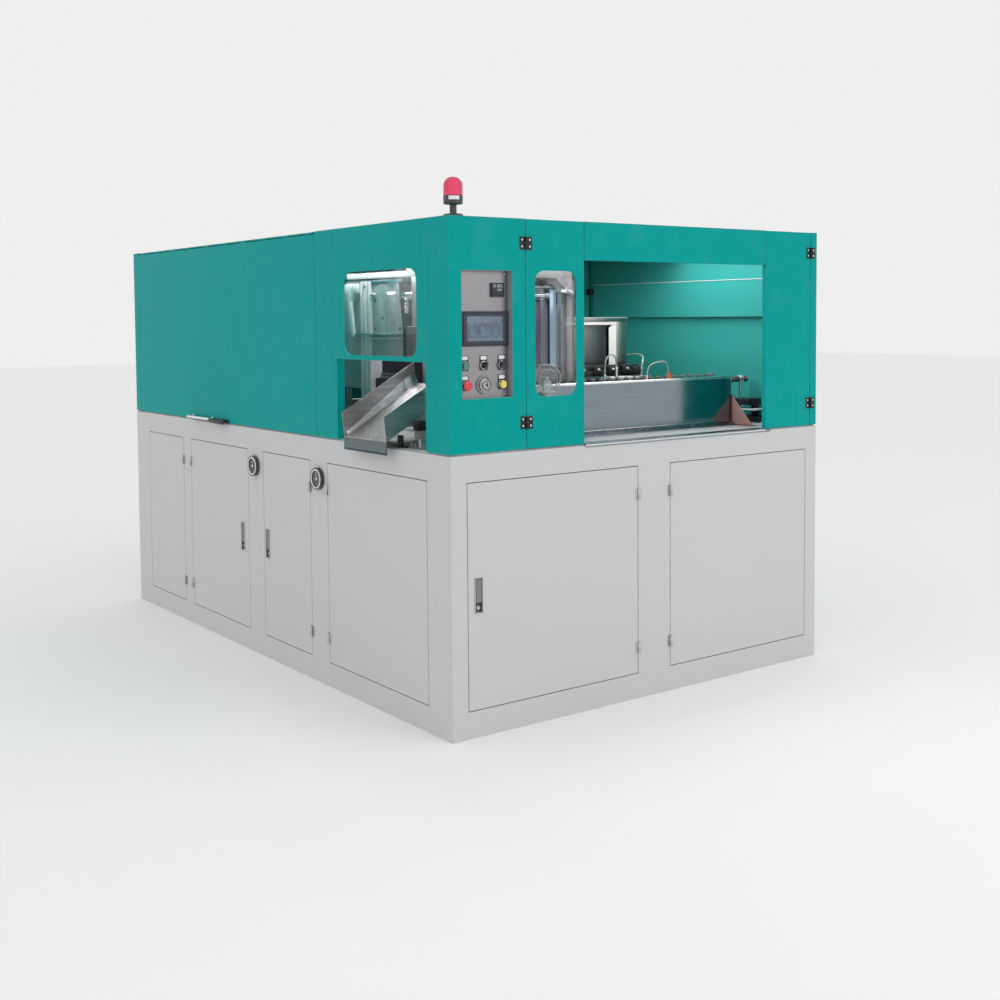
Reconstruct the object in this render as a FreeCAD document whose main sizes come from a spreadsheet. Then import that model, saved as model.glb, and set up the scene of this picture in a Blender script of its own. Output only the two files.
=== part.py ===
import FreeCAD, Part
import os
import re
import Sketcher

# Full-automatic blow moulding machine: a grey base cabinet on a tube frame, a teal cabin with
# doors and windows on it, and the clamp, stretch unit, oven and discharge chute inside.
# Millimetres. +Z up, -Y is the operator's front, -X the long side with the chute.
# The origin is the centre of the footprint, on the floor.

SIZES = {
    # the whole machine
    "half_width": 1050, "half_length": 1590, "top": 2000, "base_top": 1095,
    "deck_thick": 5, "deck_inset": 6, "skin": 3, "gap": 3, "door_depth": 22, "fold": 18,
    "tube": 60, "cabin_tube": 45, "cabin_inset": 28,
    # lower doors: all share one height
    "low_door_foot": 109, "low_door_tall": 879,
    "left_rear_from": 925, "left_rear_wide": 480, "left_wide_from": 140, "left_wide_wide": 680,
    "left_narrow_from": -490, "left_narrow_wide": 463, "left_front_from": -1428, "left_front_wide": 778,
    "front_left_from": -971, "front_left_wide": 879, "front_right_from": 99, "front_right_wide": 875,
    # barrel hinges of the lower doors
    "barrel_radius": 6.5, "barrel_out": 7, "barrel_tall": 46, "barrel_leaf": 15, "leaf_thick": 3,
    "pin_radius": 3, "pin_play": 0.06, "hinge_low": 195, "hinge_high": 848,
    # black leaf hinges of the upper doors
    "leaf_wide": 29, "leaf_tall": 50, "knuckle_radius": 6, "knuckle_out": 6.5,
    # paddle locks
    "lock_wide": 32, "lock_tall": 132, "lock_deep": 16, "paddle_wide": 25, "paddle_tall": 90,
    "paddle_thick": 6, "lock_low": 487,
    # front of the cabin
    "column_edge": -685, "column_return": 160, "oval_from": -682, "oval_wide": 297,
    "opening_from": -382, "opening_to": 697, "right_door_from": 700, "right_door_wide": 304,
    "header_foot": 1845, "cabin_foot": 1102, "cabin_head": 1999, "corner_from": 1007,
    "oval_window_from": -637, "oval_window_wide": 210, "oval_window_foot": 1304,
    "oval_window_tall": 496, "oval_radius": 45,
    # control recess
    "recess_from": -991, "recess_wide": 241, "recess_foot": 1309, "recess_tall": 489, "recess_deep": 30,
    "plate_thick": 3, "screen_from": -974, "screen_foot": 1508, "screen_wide": 220, "screen_tall": 134,
    "screen_proud": 8, "display_inset": 24, "meter_from": -832, "meter_foot": 1697, "meter_wide": 60,
    "meter_tall": 54, "button_radius": 13, "collar_radius": 16, "stem_radius": 8, "press_travel": 4,
    "upper_row": 1435, "lower_row": 1359, "first_place": -958, "second_place": -869,
    "third_place": -782, "stop_radius": 20, "selector_radius": 25,
    # left side of the cabin
    "window_panel_from": -1430, "window_panel_to": -745, "window_panel_foot": 1447,
    "window_from": -1370, "window_wide": 558, "window_foot": 1467, "window_tall": 345,
    "window_radius": 50, "pane_thick": 3, "post_from": -745, "post_to": -560, "jamb_deep": 38,
    "lift_from": -557, "lift_wide": 2074, "lift_tall": 886, "far_column_from": 1520,
    "lift_axis_in": 6, "lift_axis_down": 6, "lift_knuckle": 5, "lift_pin": 2.5, "knuckle_long": 60,
    # handle bar and latch block of the lift door
    "bar_from": 530, "bar_long": 265, "bar_radius": 7, "bar_out": 34, "latch_from": 347, "latch_long": 175,
    # gauges on the left side
    "gauge_radius": 49, "gauge_dial": 43, "gauge_deep": 18, "gauge_height": 915,
    "gauge_rear": 61, "gauge_front": -573,
    # discharge chute
    "chute_from": -1221, "chute_wide": 332, "chute_mouth": 50, "chute_run": 352, "chute_rise": 208,
    "chute_lip": 1130, "chute_wall": 98, "chute_end_wall": 93, "chute_skirt": 52, "chute_thick": 3,
    "chute_lean": 12,
    # beacon on the roof
    "beacon_across": -990, "beacon_along": -1540, "beacon_radius": 37.5, "flange_thick": 8,
    "neck_radius": 12.5, "neck_tall": 24, "lamp_base_tall": 46, "dome_tall": 71, "dome_radius": 37,
    "dome_round": 24,
    # guard sheet, its gusset and the feed rails
    "guard_from": -640, "guard_to": 760, "guard_along": -1325, "guard_top": 1332, "guard_roll": 6,
    "gusset_deep": 135, "gusset_tall": 143,
    # wall stiffener
    "stiff_from": -1514, "stiff_to": -44, "stiff_foot": 1612, "stiff_tall": 183, "stiff_deep": 30,
    # clamp unit
    "platen_from": -640, "platen_wide": 522, "platen_thick": 60, "platen_top": 1780,
    "front_platen": -1215, "rear_platen": -420, "moving_platen": -850, "tie_radius": 25,
    "tie_play": 0.06, "tie_inset": 55, "tie_low": 1245, "tie_high": 1715, "mould_wide": 330,
    "mould_deep": 110, "mould_foot": 1250, "mould_tall": 290, "cavity_radius": 34, "cavity_pitch": 150,
    # stretch unit
    "bridge_foot": 1575, "bridge_thick": 22, "bridge_deep": 200, "guide_radius": 10,
    "guide_spread": 150, "carriage_half": 170,
    "carriage_foot": 1850, "carriage_thick": 40, "stretch_radius": 6, "stretch_long": 260,
    "guide_top": 1925,
    # oven
    "oven_from": 60, "oven_wide": 328, "oven_start": -1000, "oven_long": 2200, "oven_foot": 1372,
    "oven_tall": 243, "oven_wall": 4, "oven_slot": 110, "oven_leg": 40, "oven_end_in": 70,
    # services on the rear
    "port_radius": 24, "port_bore": 15, "port_deep": 20, "port_height": 300, "port_pitch": 130,
}

doc = FreeCAD.newDocument("blow_moulding_machine")
sheet = doc.addObject("Spreadsheet::Sheet", "Dim")
for row, (alias, value) in enumerate(SIZES.items(), start=1):
    sheet.set(f"A{row}", alias)
    sheet.set(f"B{row}", str(value))
    sheet.setAlias(f"B{row}", alias)
doc.recompute()

nodes = []
UPRIGHT = FreeCAD.Rotation()
ALONG = {"x": FreeCAD.Rotation(FreeCAD.Vector(0, 1, 0), 90),
         "y": FreeCAD.Rotation(FreeCAD.Vector(1, 0, 0), -90),
         "z": UPRIGHT}


# ---- small tools: bound primitives, booleans and sketches ----
def bind(obj, prop, text):
    """Bind a property to a formula in which every word is an alias of the sheet."""
    obj.setExpression(prop, re.sub(r"[a-z]\w*", lambda word: "Dim." + word.group(0), str(text)))


def place(obj, corner, turn=UPRIGHT):
    obj.Placement = FreeCAD.Placement(FreeCAD.Vector(), turn)
    for letter, text in zip("xyz", corner):
        bind(obj, "Placement.Base." + letter, text)
    return obj


def block(corner, size, label="block"):
    box = doc.addObject("Part::Box", label)
    for prop, text in zip(("Length", "Width", "Height"), size):
        bind(box, prop, text)
    return place(box, corner)


def rod(start, axis, radius, length, label="rod"):
    round_bar = doc.addObject("Part::Cylinder", label)
    bind(round_bar, "Radius", radius)
    bind(round_bar, "Height", length)
    return place(round_bar, start, ALONG[axis])


def join(pieces, label="joined"):
    fused = doc.addObject("Part::MultiFuse", label)
    fused.Shapes = pieces
    fused.Refine = True
    return fused


def group(pieces, label="group"):
    several = doc.addObject("Part::Compound", label)
    several.Links = pieces
    return several


def cut(base, tools, label="cut"):
    less = doc.addObject("Part::Cut", label)
    less.Base = base
    less.Tool = tools[0] if len(tools) == 1 else group(tools, "tools")
    return less


def node(obj, name):
    """Name a finished sub-part; its label is its file's name."""
    obj.Label = name
    nodes.append(obj)
    return obj


def at(face, across, out, height):
    """A point by its place along a face and its distance out from it."""
    if face == "front":
        return (across, f"-half_length - ({out})", height)
    return (f"-half_width - ({out})", across, height)


def slab(face, across, out, height, wide, deep, tall):
    """A block against the front or left face: from `out` it stands `deep` further out."""
    corner = at(face, across, f"{out} + {deep}", height)
    size = (wide, deep, tall) if face == "front" else (deep, wide, tall)
    return block(corner, size)


def stud(face, across, out, height, radius, long):
    """A round piece that points straight out of the front or left face."""
    return rod(at(face, across, f"{out} + {long}", height), "y" if face == "front" else "x", radius, long)


def dimension(sketch, kind, places, name, text):
    index = sketch.addConstraint(Sketcher.Constraint(kind, *places, 1.0))
    sketch.renameConstraint(index, name)
    bind(sketch, "Constraints." + name, text)


def pin_point(sketch, line, end, name, across, up):
    for kind, axis, text in (("DistanceX", -2, across), ("DistanceY", -1, up)):
        if str(text) == "0":
            sketch.addConstraint(Sketcher.Constraint("PointOnObject", line, end, axis))
        else:
            dimension(sketch, kind, (-1, 1, line, end), name + kind[-1].lower(), text)


def rectangle(sketch, name, across, up, wide, tall):
    first = sketch.GeometryCount
    corners = [FreeCAD.Vector(x, y) for x, y in ((1, 1), (2, 1), (2, 2), (1, 2))]
    for i in range(4):
        sketch.addGeometry(Part.LineSegment(corners[i], corners[(i + 1) % 4]), False)
    for i in range(4):
        sketch.addConstraint(Sketcher.Constraint("Coincident", first + i, 2, first + (i + 1) % 4, 1))
        sketch.addConstraint(Sketcher.Constraint(("Horizontal", "Vertical")[i % 2], first + i))
    pin_point(sketch, first, 1, name, across, up)
    dimension(sketch, "DistanceX", (first, 1, first, 2), name + "_wide", wide)
    dimension(sketch, "DistanceY", (first + 1, 1, first + 1, 2), name + "_tall", tall)


def polygon(sketch, name, points):
    count = len(points)
    spots = [FreeCAD.Vector(i * i + 1, i + 1) for i in range(count)]
    for i in range(count):
        sketch.addGeometry(Part.LineSegment(spots[i], spots[(i + 1) % count]), False)
    for i in range(count):
        sketch.addConstraint(Sketcher.Constraint("Coincident", i, 2, (i + 1) % count, 1))
    for i, (across, up) in enumerate(points):
        pin_point(sketch, i, 1, f"{name}{'abcdefgh'[i]}_", across, up)


def sketch_on(body, plane, out=None):
    sketch = body.newObject("Sketcher::SketchObject", "outline")
    sketch.AttachmentSupport = [(next(f for f in body.Origin.OriginFeatures if f.Role == plane), "")]
    sketch.MapMode = "FlatFace"
    if out:
        bind(sketch, "AttachmentOffset.Base.z", out)
    return sketch


def pad(body, sketch, length):
    feature = body.newObject("PartDesign::Pad", "pad")
    feature.Profile = sketch
    bind(feature, "Length", length)
    return feature


def pocket(body, sketch, length=None, along_normal=True):
    """Cut into the solid; the volume must drop, or the cut pointed into the air."""
    doc.recompute()
    before = body.Shape.Volume
    feature = body.newObject("PartDesign::Pocket", "pocket")
    feature.Profile = sketch
    feature.Reversed = along_normal
    if length:
        bind(feature, "Length", length)
    else:
        feature.Type = "ThroughAll"
    doc.recompute()
    if body.Shape.Volume >= before:
        raise RuntimeError("a pocket of " + body.Label + " cuts nothing")
    return feature


def round_window(body, feature, radius):
    """Round the corners of a window: the edges through the sheet that lie inside its outline."""
    outer = feature.Shape.BoundBox
    picked = []
    for number, edge in enumerate(feature.Shape.Edges, start=1):
        middle = edge.CenterOfMass
        clear = sum(low + 1 < value < high - 1 for low, value, high in (
            (outer.XMin, middle.x, outer.XMax), (outer.YMin, middle.y, outer.YMax),
            (outer.ZMin, middle.z, outer.ZMax)))
        span = edge.BoundBox
        if clear == 3 and max(span.XLength, span.YLength, span.ZLength) < outer.DiagonalLength / 20:
            picked.append(f"Edge{number}")
    fillet = body.newObject("PartDesign::Fillet", "window_corners")
    fillet.Base = (feature, picked)
    bind(fillet, "Radius", radius)
    doc.recompute()


def sheet_body(face, across, height, wide, tall, deep, holes=(), radius=None):
    """A flat sheet or door blank whose outer side lies on the face, with rectangular holes."""
    body = doc.addObject("PartDesign::Body", "sheet_body")
    plane = "XZ_Plane" if face == "front" else "YZ_Plane"
    outline = sketch_on(body, plane)
    rectangle(outline, "edge", "0", "0", wide, tall)
    pad(body, outline, deep)
    if holes:
        windows = sketch_on(body, plane)
        for number, (left, foot, hole_wide, hole_tall) in enumerate(holes):
            rectangle(windows, "hole" + "abcdef"[number], f"{left} - ({across})", f"{foot} - ({height})",
                      hole_wide, hole_tall)
        opened = pocket(body, windows)
        if radius:
            round_window(body, opened, radius)
    return place(body, at(face, across, f"-({deep})" if face == "front" else "0", height))


def door_pan(face, across, height, wide, tall, holes=(), radius=None):
    """A folded door: a skin with its four edges turned inwards."""
    body = sheet_body(face, across, height, wide, tall, "door_depth", holes, radius)
    front = face == "front"
    hollow = sketch_on(body, "XZ_Plane" if front else "YZ_Plane", None if front else "door_depth")
    rectangle(hollow, "hollow", "skin", "skin", f"{wide} - 2 * skin", f"{tall} - 2 * skin")
    pocket(body, hollow, "door_depth - skin", along_normal=front)
    return body


# ---- base: tube frame, skins and deck ----
def tube_row(places, axis, long, size="tube"):
    sizes = {"x": (long, size, size), "y": (size, long, size), "z": (size, size, long)}[axis]
    return [block(place_, sizes) for place_ in places]


inner_x = "half_width - skin"
inner_y = "half_length - skin"
post_long = "base_top - 2 * tube"
across_span = "2 * (half_width - skin)"
along_span = "2 * (half_length - skin - tube)"
cabin_low = "base_top + deck_thick"
cabin_rail = "top - 2 * skin - cabin_tube"
cabin_post = f"{cabin_rail} - ({cabin_low})"

base_posts = tube_row(
    [(x, y, "tube") for x in (f"-({inner_x})", f"{inner_x} - tube")
     for y in (f"-({inner_y})", "-600", "26", "842", f"{inner_y} - tube")]
    + [("-tube / 2", y, "tube") for y in (f"-({inner_y})", f"{inner_y} - tube")], "z", post_long)
cabin_posts = tube_row(
    [("-half_width + cabin_inset", y, cabin_low) for y in ("-1500", "-675", "1535")]
    + [("-745", "-1500", cabin_low)]
    + [("half_width - cabin_inset - cabin_tube", y, cabin_low) for y in
       ("-half_length + cabin_inset", "0", "1535")], "z", cabin_post, "cabin_tube")
node(group(base_posts + cabin_posts), "frame_posts")

rails = []
for level in ("0", "base_top - tube"):
    rails += tube_row([(f"-({inner_x})", y, level) for y in (f"-({inner_y})", f"{inner_y} - tube")],
                      "x", across_span)
    rails += tube_row([(x, f"-({inner_y}) + tube", level) for x in (f"-({inner_x})", f"{inner_x} - tube")],
                      "y", along_span)
    rails += tube_row([(f"-({inner_x}) + tube", y, level) for y in ("-800", "-tube / 2", "800")],
                      "x", f"{across_span} - 2 * tube")
side_rail = "2 * half_length - 2 * cabin_inset"
for x in ("-half_width + cabin_inset", "half_width - cabin_inset - cabin_tube"):
    rails += tube_row([(x, "-half_length + cabin_inset", cabin_rail)], "y", side_rail, "cabin_tube")
rails += tube_row([("-half_width + cabin_inset + cabin_tube", y, cabin_rail) for y in
                   ("-half_length + cabin_inset", "-500", "500", "half_length - cabin_inset - cabin_tube")],
                  "x", "2 * (half_width - cabin_inset - cabin_tube)", "cabin_tube")
node(group(rails), "frame_rails")

LOWER_DOORS = (
    # node, face, near edge, width, hinge side, lock's place along the door from its near edge
    ("left_door_rear", "left", "left_rear", -1, None),
    ("left_door_wide", "left", "left_wide", 1, "65"),
    ("left_door_narrow", "left", "left_narrow", -1, "left_narrow_wide - 36"),
    ("left_door_front", "left", "left_front", 1, None),
    ("front_door_left", "front", "front_left", 1, "49"),
    ("front_door_right", "front", "front_right", -1, None),
)


def door_holes(face):
    """The openings of the lower doors in one side of the base."""
    return [(f"{key}_from - gap", "low_door_foot - gap", f"{key}_wide + 2 * gap", "low_door_tall + 2 * gap")
            for _, side, key, _, _ in LOWER_DOORS if side == face]


node(sheet_body("front", "-half_width", "0", "2 * half_width", "base_top", "skin", door_holes("front")),
     "lower_front_panel")
node(sheet_body("left", "-half_length + skin", "0", "2 * half_length - 2 * skin", "base_top", "skin",
                door_holes("left")), "lower_left_panel")
node(group([block(("half_width - skin", f"-({inner_y})", "0"), ("skin", "2 * half_length - 2 * skin", "base_top")),
            block(("-half_width", inner_y, "0"), ("2 * half_width", "skin", "base_top"))]), "lower_plain_panels")
node(block(("-half_width + deck_inset", "-half_length + deck_inset", "base_top"),
           ("2 * half_width - 2 * deck_inset", "2 * half_length - 2 * deck_inset", "deck_thick")),
     "deck_plate")


# ---- hinges: a half with a leaf and a barrel for the door, one with the pin for the frame ----
def hinge_half(face, seam, toward, foot, tall, leaf, radius, out, upper):
    """One half of a hinge. Its leaf lies flat on the face, on the side `toward`; its barrel fills
    the upper or the lower half of the height; a short web ties the barrel to the leaf."""
    barrel_foot = f"{foot} + {tall} / 2" if upper else foot
    half = f"({tall}) / 2 - 0.3"
    clear = f"{radius} + 0.6"
    leaf_from = f"{seam} + {clear}" if toward > 0 else f"{seam} - {leaf}"
    web_from = seam if toward > 0 else f"{seam} - {clear}"
    return [slab(face, leaf_from, "0", foot, f"{leaf} - ({clear})", "leaf_thick", tall),
            slab(face, web_from, "0.5", barrel_foot, clear, "leaf_thick - 0.5", half),
            rod(at(face, seam, out, barrel_foot), "z", radius, half)]


def hinge_pair(face, seam, door_side, foot, tall, leaf, radius, out):
    """The door's pieces, the bore to cut in them, and the finished frame half with its pin."""
    moving = hinge_half(face, seam, door_side, foot, tall, leaf, radius, out, True)
    fixed = hinge_half(face, seam, -door_side, foot, tall, leaf, radius, out, False)
    pin = rod(at(face, seam, out, foot), "z", "pin_radius", f"{tall} - 0.3")
    bore = rod(at(face, seam, out, f"{foot} - 1"), "z", "pin_radius + pin_play", f"{tall} + 2")
    return moving, bore, join(fixed + [pin])


barrel_halves = []
for name, face, key, hinge_side, lock in LOWER_DOORS:
    across, wide = key + "_from", key + "_wide"
    lock_at = f"{across} + {lock} - lock_wide / 2"
    locks = [(lock_at, "lock_low", "lock_wide", "lock_tall")] if lock else ()
    pan = door_pan(face, across, "low_door_foot", wide, "low_door_tall", locks)
    pieces, bores = [pan], []
    seam = f"{across} + {wide} + gap / 2" if hinge_side > 0 else f"{across} - gap / 2"
    for foot in ("hinge_low", "hinge_high"):
        moving, bore, fixed = hinge_pair(face, seam, -hinge_side, foot, "barrel_tall", "barrel_leaf",
                                         "barrel_radius", "barrel_out")
        pieces += moving
        bores.append(bore)
        barrel_halves.append(fixed)
    if lock:
        # lock tray: a box behind the hole, open to the outside
        tray = cut(slab(face, f"{lock_at} - 2", "-skin - lock_deep", "lock_low - 2", "lock_wide + 4",
                        "lock_deep + skin", "lock_tall + 4"),
                   [slab(face, lock_at, "-skin - lock_deep + 2", "lock_low", "lock_wide",
                         "lock_deep + skin + 1", "lock_tall")])
        rim = cut(slab(face, f"{lock_at} - 3", "0", "lock_low - 3", "lock_wide + 6", "1.5", "lock_tall + 6"),
                  [slab(face, lock_at, "-1", "lock_low", "lock_wide", "4", "lock_tall")])
        pieces += [tray, rim]
        paddle_at = f"{lock_at} + (lock_wide - paddle_wide) / 2"
        paddle = slab(face, paddle_at, "-4", "lock_low + lock_tall - paddle_tall - 3",
                      "paddle_wide", "paddle_thick", "paddle_tall")
        pivot = rod(at(face, f"{paddle_at} - 3", "-1", "lock_low + lock_tall - 6"),
                    "x" if face == "front" else "y", "2", "paddle_wide + 6")
        node(join([paddle, pivot]), name + "_paddle")
    node(cut(join(pieces), bores), name)
node(group(barrel_halves), "barrel_hinge_halves")

# ---- cabin, front: control column, oval-window door, header, right door and corner ----
cabin_tall = "top - skin - cabin_foot"
column = cut(block(("-half_width", "-half_length", "cabin_foot"),
                   ("half_width + column_edge", "column_return", cabin_tall)),
             [block(("-half_width + skin", "-half_length + skin", "cabin_foot - 1"),
                    ("half_width + column_edge - 2 * skin", "column_return", f"{cabin_tall} + 2"))])
edge_return = cut(column, [
    block(("column_edge - skin - 1", "-half_length + cabin_inset - 2", "cabin_foot - 1"),
          ("skin + 2", "column_return", f"{cabin_tall} + 2")),
    slab("front", "recess_from", "-skin - 1", "recess_foot", "recess_wide", "skin + 2", "recess_tall")])
recess_frame = cut(slab("front", "recess_from - skin", "-recess_deep", "recess_foot - skin",
                        "recess_wide + 2 * skin", "recess_deep", "recess_tall + 2 * skin"),
                   [slab("front", "recess_from", "-recess_deep - 1", "recess_foot", "recess_wide",
                         "recess_deep + 2", "recess_tall")])
node(join([edge_return, recess_frame]), "control_column")
node(slab("front", "recess_from - skin", "-recess_deep - plate_thick", "recess_foot - skin",
          "recess_wide + 2 * skin", "plate_thick", "recess_tall + 2 * skin"), "control_plate")

leaf_halves = []


def hinged_upper_door(name, across, wide, hinge_side, holes=(), radius=None):
    pan = door_pan("front", across, "cabin_foot", wide, "cabin_head - cabin_foot", holes, radius)
    seam = f"{across} + {wide} + gap / 2" if hinge_side > 0 else f"{across} - gap / 2"
    pieces, bores = [pan], []
    for foot in ("1181", "1880"):
        moving, bore, fixed = hinge_pair("front", seam, -hinge_side, foot, "leaf_tall", "leaf_wide",
                                         "knuckle_radius", "knuckle_out")
        pieces += moving
        bores.append(bore)
        leaf_halves.append(fixed)
    node(cut(join(pieces), bores), name)


hinged_upper_door("front_window_door", "oval_from", "oval_wide", -1,
                  [("oval_window_from", "oval_window_foot", "oval_window_wide", "oval_window_tall")],
                  "oval_radius")
node(slab("front", "oval_window_from - 14", "-skin - 0.3 - pane_thick", "oval_window_foot - 14",
          "oval_window_wide + 28", "pane_thick", "oval_window_tall + 28"), "front_window_pane")
hinged_upper_door("right_front_door", "right_door_from", "right_door_wide", 1)
node(group(leaf_halves), "leaf_hinge_halves")

header_wide = "opening_to - opening_from"
node(join([slab("front", "opening_from", "-skin", "header_foot", header_wide, "skin", "top - skin - header_foot"),
           slab("front", "opening_from", "-cabin_inset + 1", "header_foot", header_wide, "cabin_inset - 1", "skin")]),
     "front_header")
corner_wide = "half_width - corner_from"
node(join([slab("front", "corner_from", "-skin", "cabin_foot", corner_wide, "skin", cabin_tall),
           block(("corner_from", "-half_length", "cabin_foot"), ("skin", "cabin_inset - 1", cabin_tall)),
           block(("half_width - skin", "-half_length", "cabin_foot"), ("skin", "cabin_tube", cabin_tall))]),
     "front_right_corner")
node(join([slab("front", "opening_from", "0", "base_top - 7", "opening_to - opening_from + 34", "skin",
                "deck_thick + 7"),
           block(("opening_from", "-half_length - skin", "base_top + deck_thick"),
                 ("opening_to - opening_from", "60", "2"))]), "sill_strip")

# ---- cabin, left side ----
panel_wide = "window_panel_to - window_panel_from"
window_sheet = sheet_body("left", "window_panel_from", "window_panel_foot", panel_wide,
                          "top - skin - window_panel_foot", "skin",
                          [("window_from", "window_foot", "window_wide", "window_tall")], "window_radius")
node(join([window_sheet, slab("left", "window_panel_from", "-cabin_inset + 2", "window_panel_foot", panel_wide,
                              "cabin_inset - 2", "skin")]), "left_window_panel")
node(slab("left", "window_from - 14", "-skin - 0.3 - pane_thick", "window_foot - 14", "window_wide + 28",
          "pane_thick", "window_tall + 28"), "left_window_pane")


def channel_post(across, wide, deep):
    """A folded post: its face and two returns."""
    return cut(slab("left", across, f"-({deep})", "cabin_foot", wide, deep, cabin_tall),
               [slab("left", f"{across} + skin", f"-({deep}) - 1", "cabin_foot - 1", f"{wide} - 2 * skin",
                     f"{deep} - skin + 1", f"{cabin_tall} + 2"),
                slab("left", f"{across} - 1", f"-({deep}) - 1", f"{cabin_rail} - 2", f"{wide} + 2",
                     f"{deep} - cabin_inset + 3", "cabin_tube + 9")])


node(group([channel_post("post_from", "post_to - post_from", "jamb_deep"),
            channel_post("far_column_from", "half_length - skin - far_column_from", "cabin_inset - 2")]),
     "left_side_posts")

# lift door: hinged along its top edge by knuckles on a long pin
lift_pan = door_pan("left", "lift_from", "cabin_foot", "lift_wide", "lift_tall")
axis_up = "top - lift_axis_down"
axis_in = "-lift_axis_in"
door_knuckles, frame_knuckles = [], []
for number in range(10):
    start = f"lift_from + 30 + {number} * (lift_wide - 60 - knuckle_long) / 9"
    barrel = rod(at("left", start, axis_in, axis_up), "y", "lift_knuckle", "knuckle_long")
    if number % 2:
        web = slab("left", start, "-lift_axis_in - 3", "cabin_foot + lift_tall - 2", "knuckle_long", "6",
                   f"{axis_up} - cabin_foot - lift_tall + 1")
        door_knuckles += [barrel, web]
    else:
        web = slab("left", start, "-cabin_inset", f"{axis_up} - 2", "knuckle_long", "cabin_inset - lift_axis_in", "4")
        frame_knuckles.append(join([barrel, web]))
long_pin = rod(at("left", "lift_from + 20", axis_in, axis_up), "y", "lift_pin", "lift_wide - 40")
pin_bore = rod(at("left", "lift_from + 10", axis_in, axis_up), "y", "lift_pin + pin_play", "lift_wide - 20")
node(cut(join([lift_pan] + door_knuckles), [pin_bore]), "side_lift_door")
node(join(frame_knuckles + [long_pin]), "lift_door_hinge")

bar = rod(at("left", "bar_from", "bar_out", "cabin_foot + 12"), "y", "bar_radius", "bar_long")
bar_feet = [slab("left", place_, "0", "cabin_foot + 6", "12", "bar_out", "12")
            for place_ in ("bar_from + 10", "bar_from + bar_long - 22")]
latch = join([slab("left", "latch_from", "0", "cabin_foot + 1", "latch_long", "32", "13"),
              slab("left", "latch_from", "2", "cabin_foot - 16", "latch_long", "30", "18")])
node(group([join([bar] + bar_feet), latch]), "lift_door_handle")

# ---- cabin, roof, rear and right side ----
node(cut(block(("-half_width", "-half_length", "top - skin"), ("2 * half_width", "2 * half_length", "skin")),
         [block(("-half_width - 1", "lift_from - gap", "top - skin - 1"),
                ("lift_axis_in + lift_knuckle + 3", "lift_wide + 2 * gap", "skin + 2"))]
         + [block((f"{door}_from - gap", "-half_length - 1", "top - skin - 1"),
                  (f"{door}_wide + 2 * gap", "door_depth + gap + 1", "skin + 2"))
            for door in ("oval", "right_door")]), "roof_panel")
node(block(("-half_width", inner_y, "cabin_foot"), ("2 * half_width", "skin", cabin_tall)), "upper_rear_panel")
# the right wall carries a box stiffener on its inner side
node(join([block(("half_width - skin", "-half_length + cabin_tube", "cabin_foot"),
                 ("skin", "2 * half_length - cabin_tube - skin", cabin_tall)),
           block(("half_width - skin - stiff_deep", "stiff_from", "stiff_foot"),
                 ("stiff_deep", "stiff_to - stiff_from", "stiff_tall"))]), "upper_right_panel")

# ---- controls: screen, meter, collars, buttons, stop and selectors ----
on_plate = "-recess_deep"
screen = cut(slab("front", "screen_from", on_plate, "screen_foot", "screen_wide", "screen_proud", "screen_tall"),
             [slab("front", "screen_from + display_inset", f"{on_plate} + screen_proud - 1.5",
                   "screen_foot + display_inset * 0.8", "screen_wide - 2 * display_inset", "4",
                   "screen_tall - 1.6 * display_inset")])
meter = slab("front", "meter_from", on_plate, "meter_foot", "meter_wide", "7", "meter_tall")
node(group([screen, meter]), "screen_and_meter")

PLACES = {"green_button": ("first_place", "upper_row"), "mode_selector": ("second_place", "upper_row"),
          "black_button": ("third_place", "upper_row"), "emergency_stop": ("first_place", "lower_row"),
          "speed_selector": ("second_place", "lower_row"), "yellow_button": ("third_place", "lower_row")}
collars = []
for across, height in PLACES.values():
    ring = stud("front", across, on_plate, height, "collar_radius", "6")
    collars.append(cut(ring, [stud("front", across, f"{on_plate} - 1", height, "stem_radius + 0.1", "9")]))
node(group(collars), "control_collars")
for name in ("green_button", "black_button", "yellow_button"):
    across, height = PLACES[name]
    node(join([stud("front", across, f"{on_plate} + press_travel + 0.6", height, "stem_radius", "7"),
               stud("front", across, f"{on_plate} + 10.5", height, "button_radius", "5")]), name)
across, height = PLACES["emergency_stop"]
node(join([stud("front", across, f"{on_plate} + press_travel + 1.6", height, "stem_radius", "9"),
           stud("front", across, f"{on_plate} + 13", height, "stop_radius - 4", "6"),
           stud("front", across, f"{on_plate} + 18", height, "stop_radius", "10")]), "emergency_stop")
across, height = PLACES["mode_selector"]
node(join([stud("front", across, f"{on_plate} + 0.5", height, "stem_radius", "9"),
           stud("front", across, f"{on_plate} + 6.5", height, "button_radius + 1", "6"),
           slab("front", f"{across} - 4", f"{on_plate} + 12", f"{height} - 13", "8", "9", "26")]),
     "mode_selector")
across, height = PLACES["speed_selector"]
node(join([stud("front", across, f"{on_plate} + 0.5", height, "stem_radius", "9"),
           stud("front", across, f"{on_plate} + 6.5", height, "selector_radius", "8"),
           stud("front", across, f"{on_plate} + 14", height, "selector_radius - 7", "9"),
           slab("front", f"{across} - 3", f"{on_plate} + 22", height, "6", "5", "selector_radius - 9")]),
     "speed_selector")

# ---- gauges on the left side ----
gauge_cases = []
for along in ("gauge_rear", "gauge_front"):
    case = stud("left", along, "0", "gauge_height", "gauge_radius", "gauge_deep")
    dial = stud("left", along, "gauge_deep - 6", "gauge_height", "gauge_dial", "8")
    gauge_cases.append(cut(case, [dial]))
    hub = stud("left", along, "gauge_deep - 5.7", "gauge_height", "4.5", "3.5")
    hand = slab("left", f"{along} - 1.2", "gauge_deep - 4.2", "gauge_height - 8", "2.4", "1.2", "38")
    node(join([hub, hand]), along.replace("gauge", "gauge_needle"))
node(group(gauge_cases), "gauge_cases")

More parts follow.
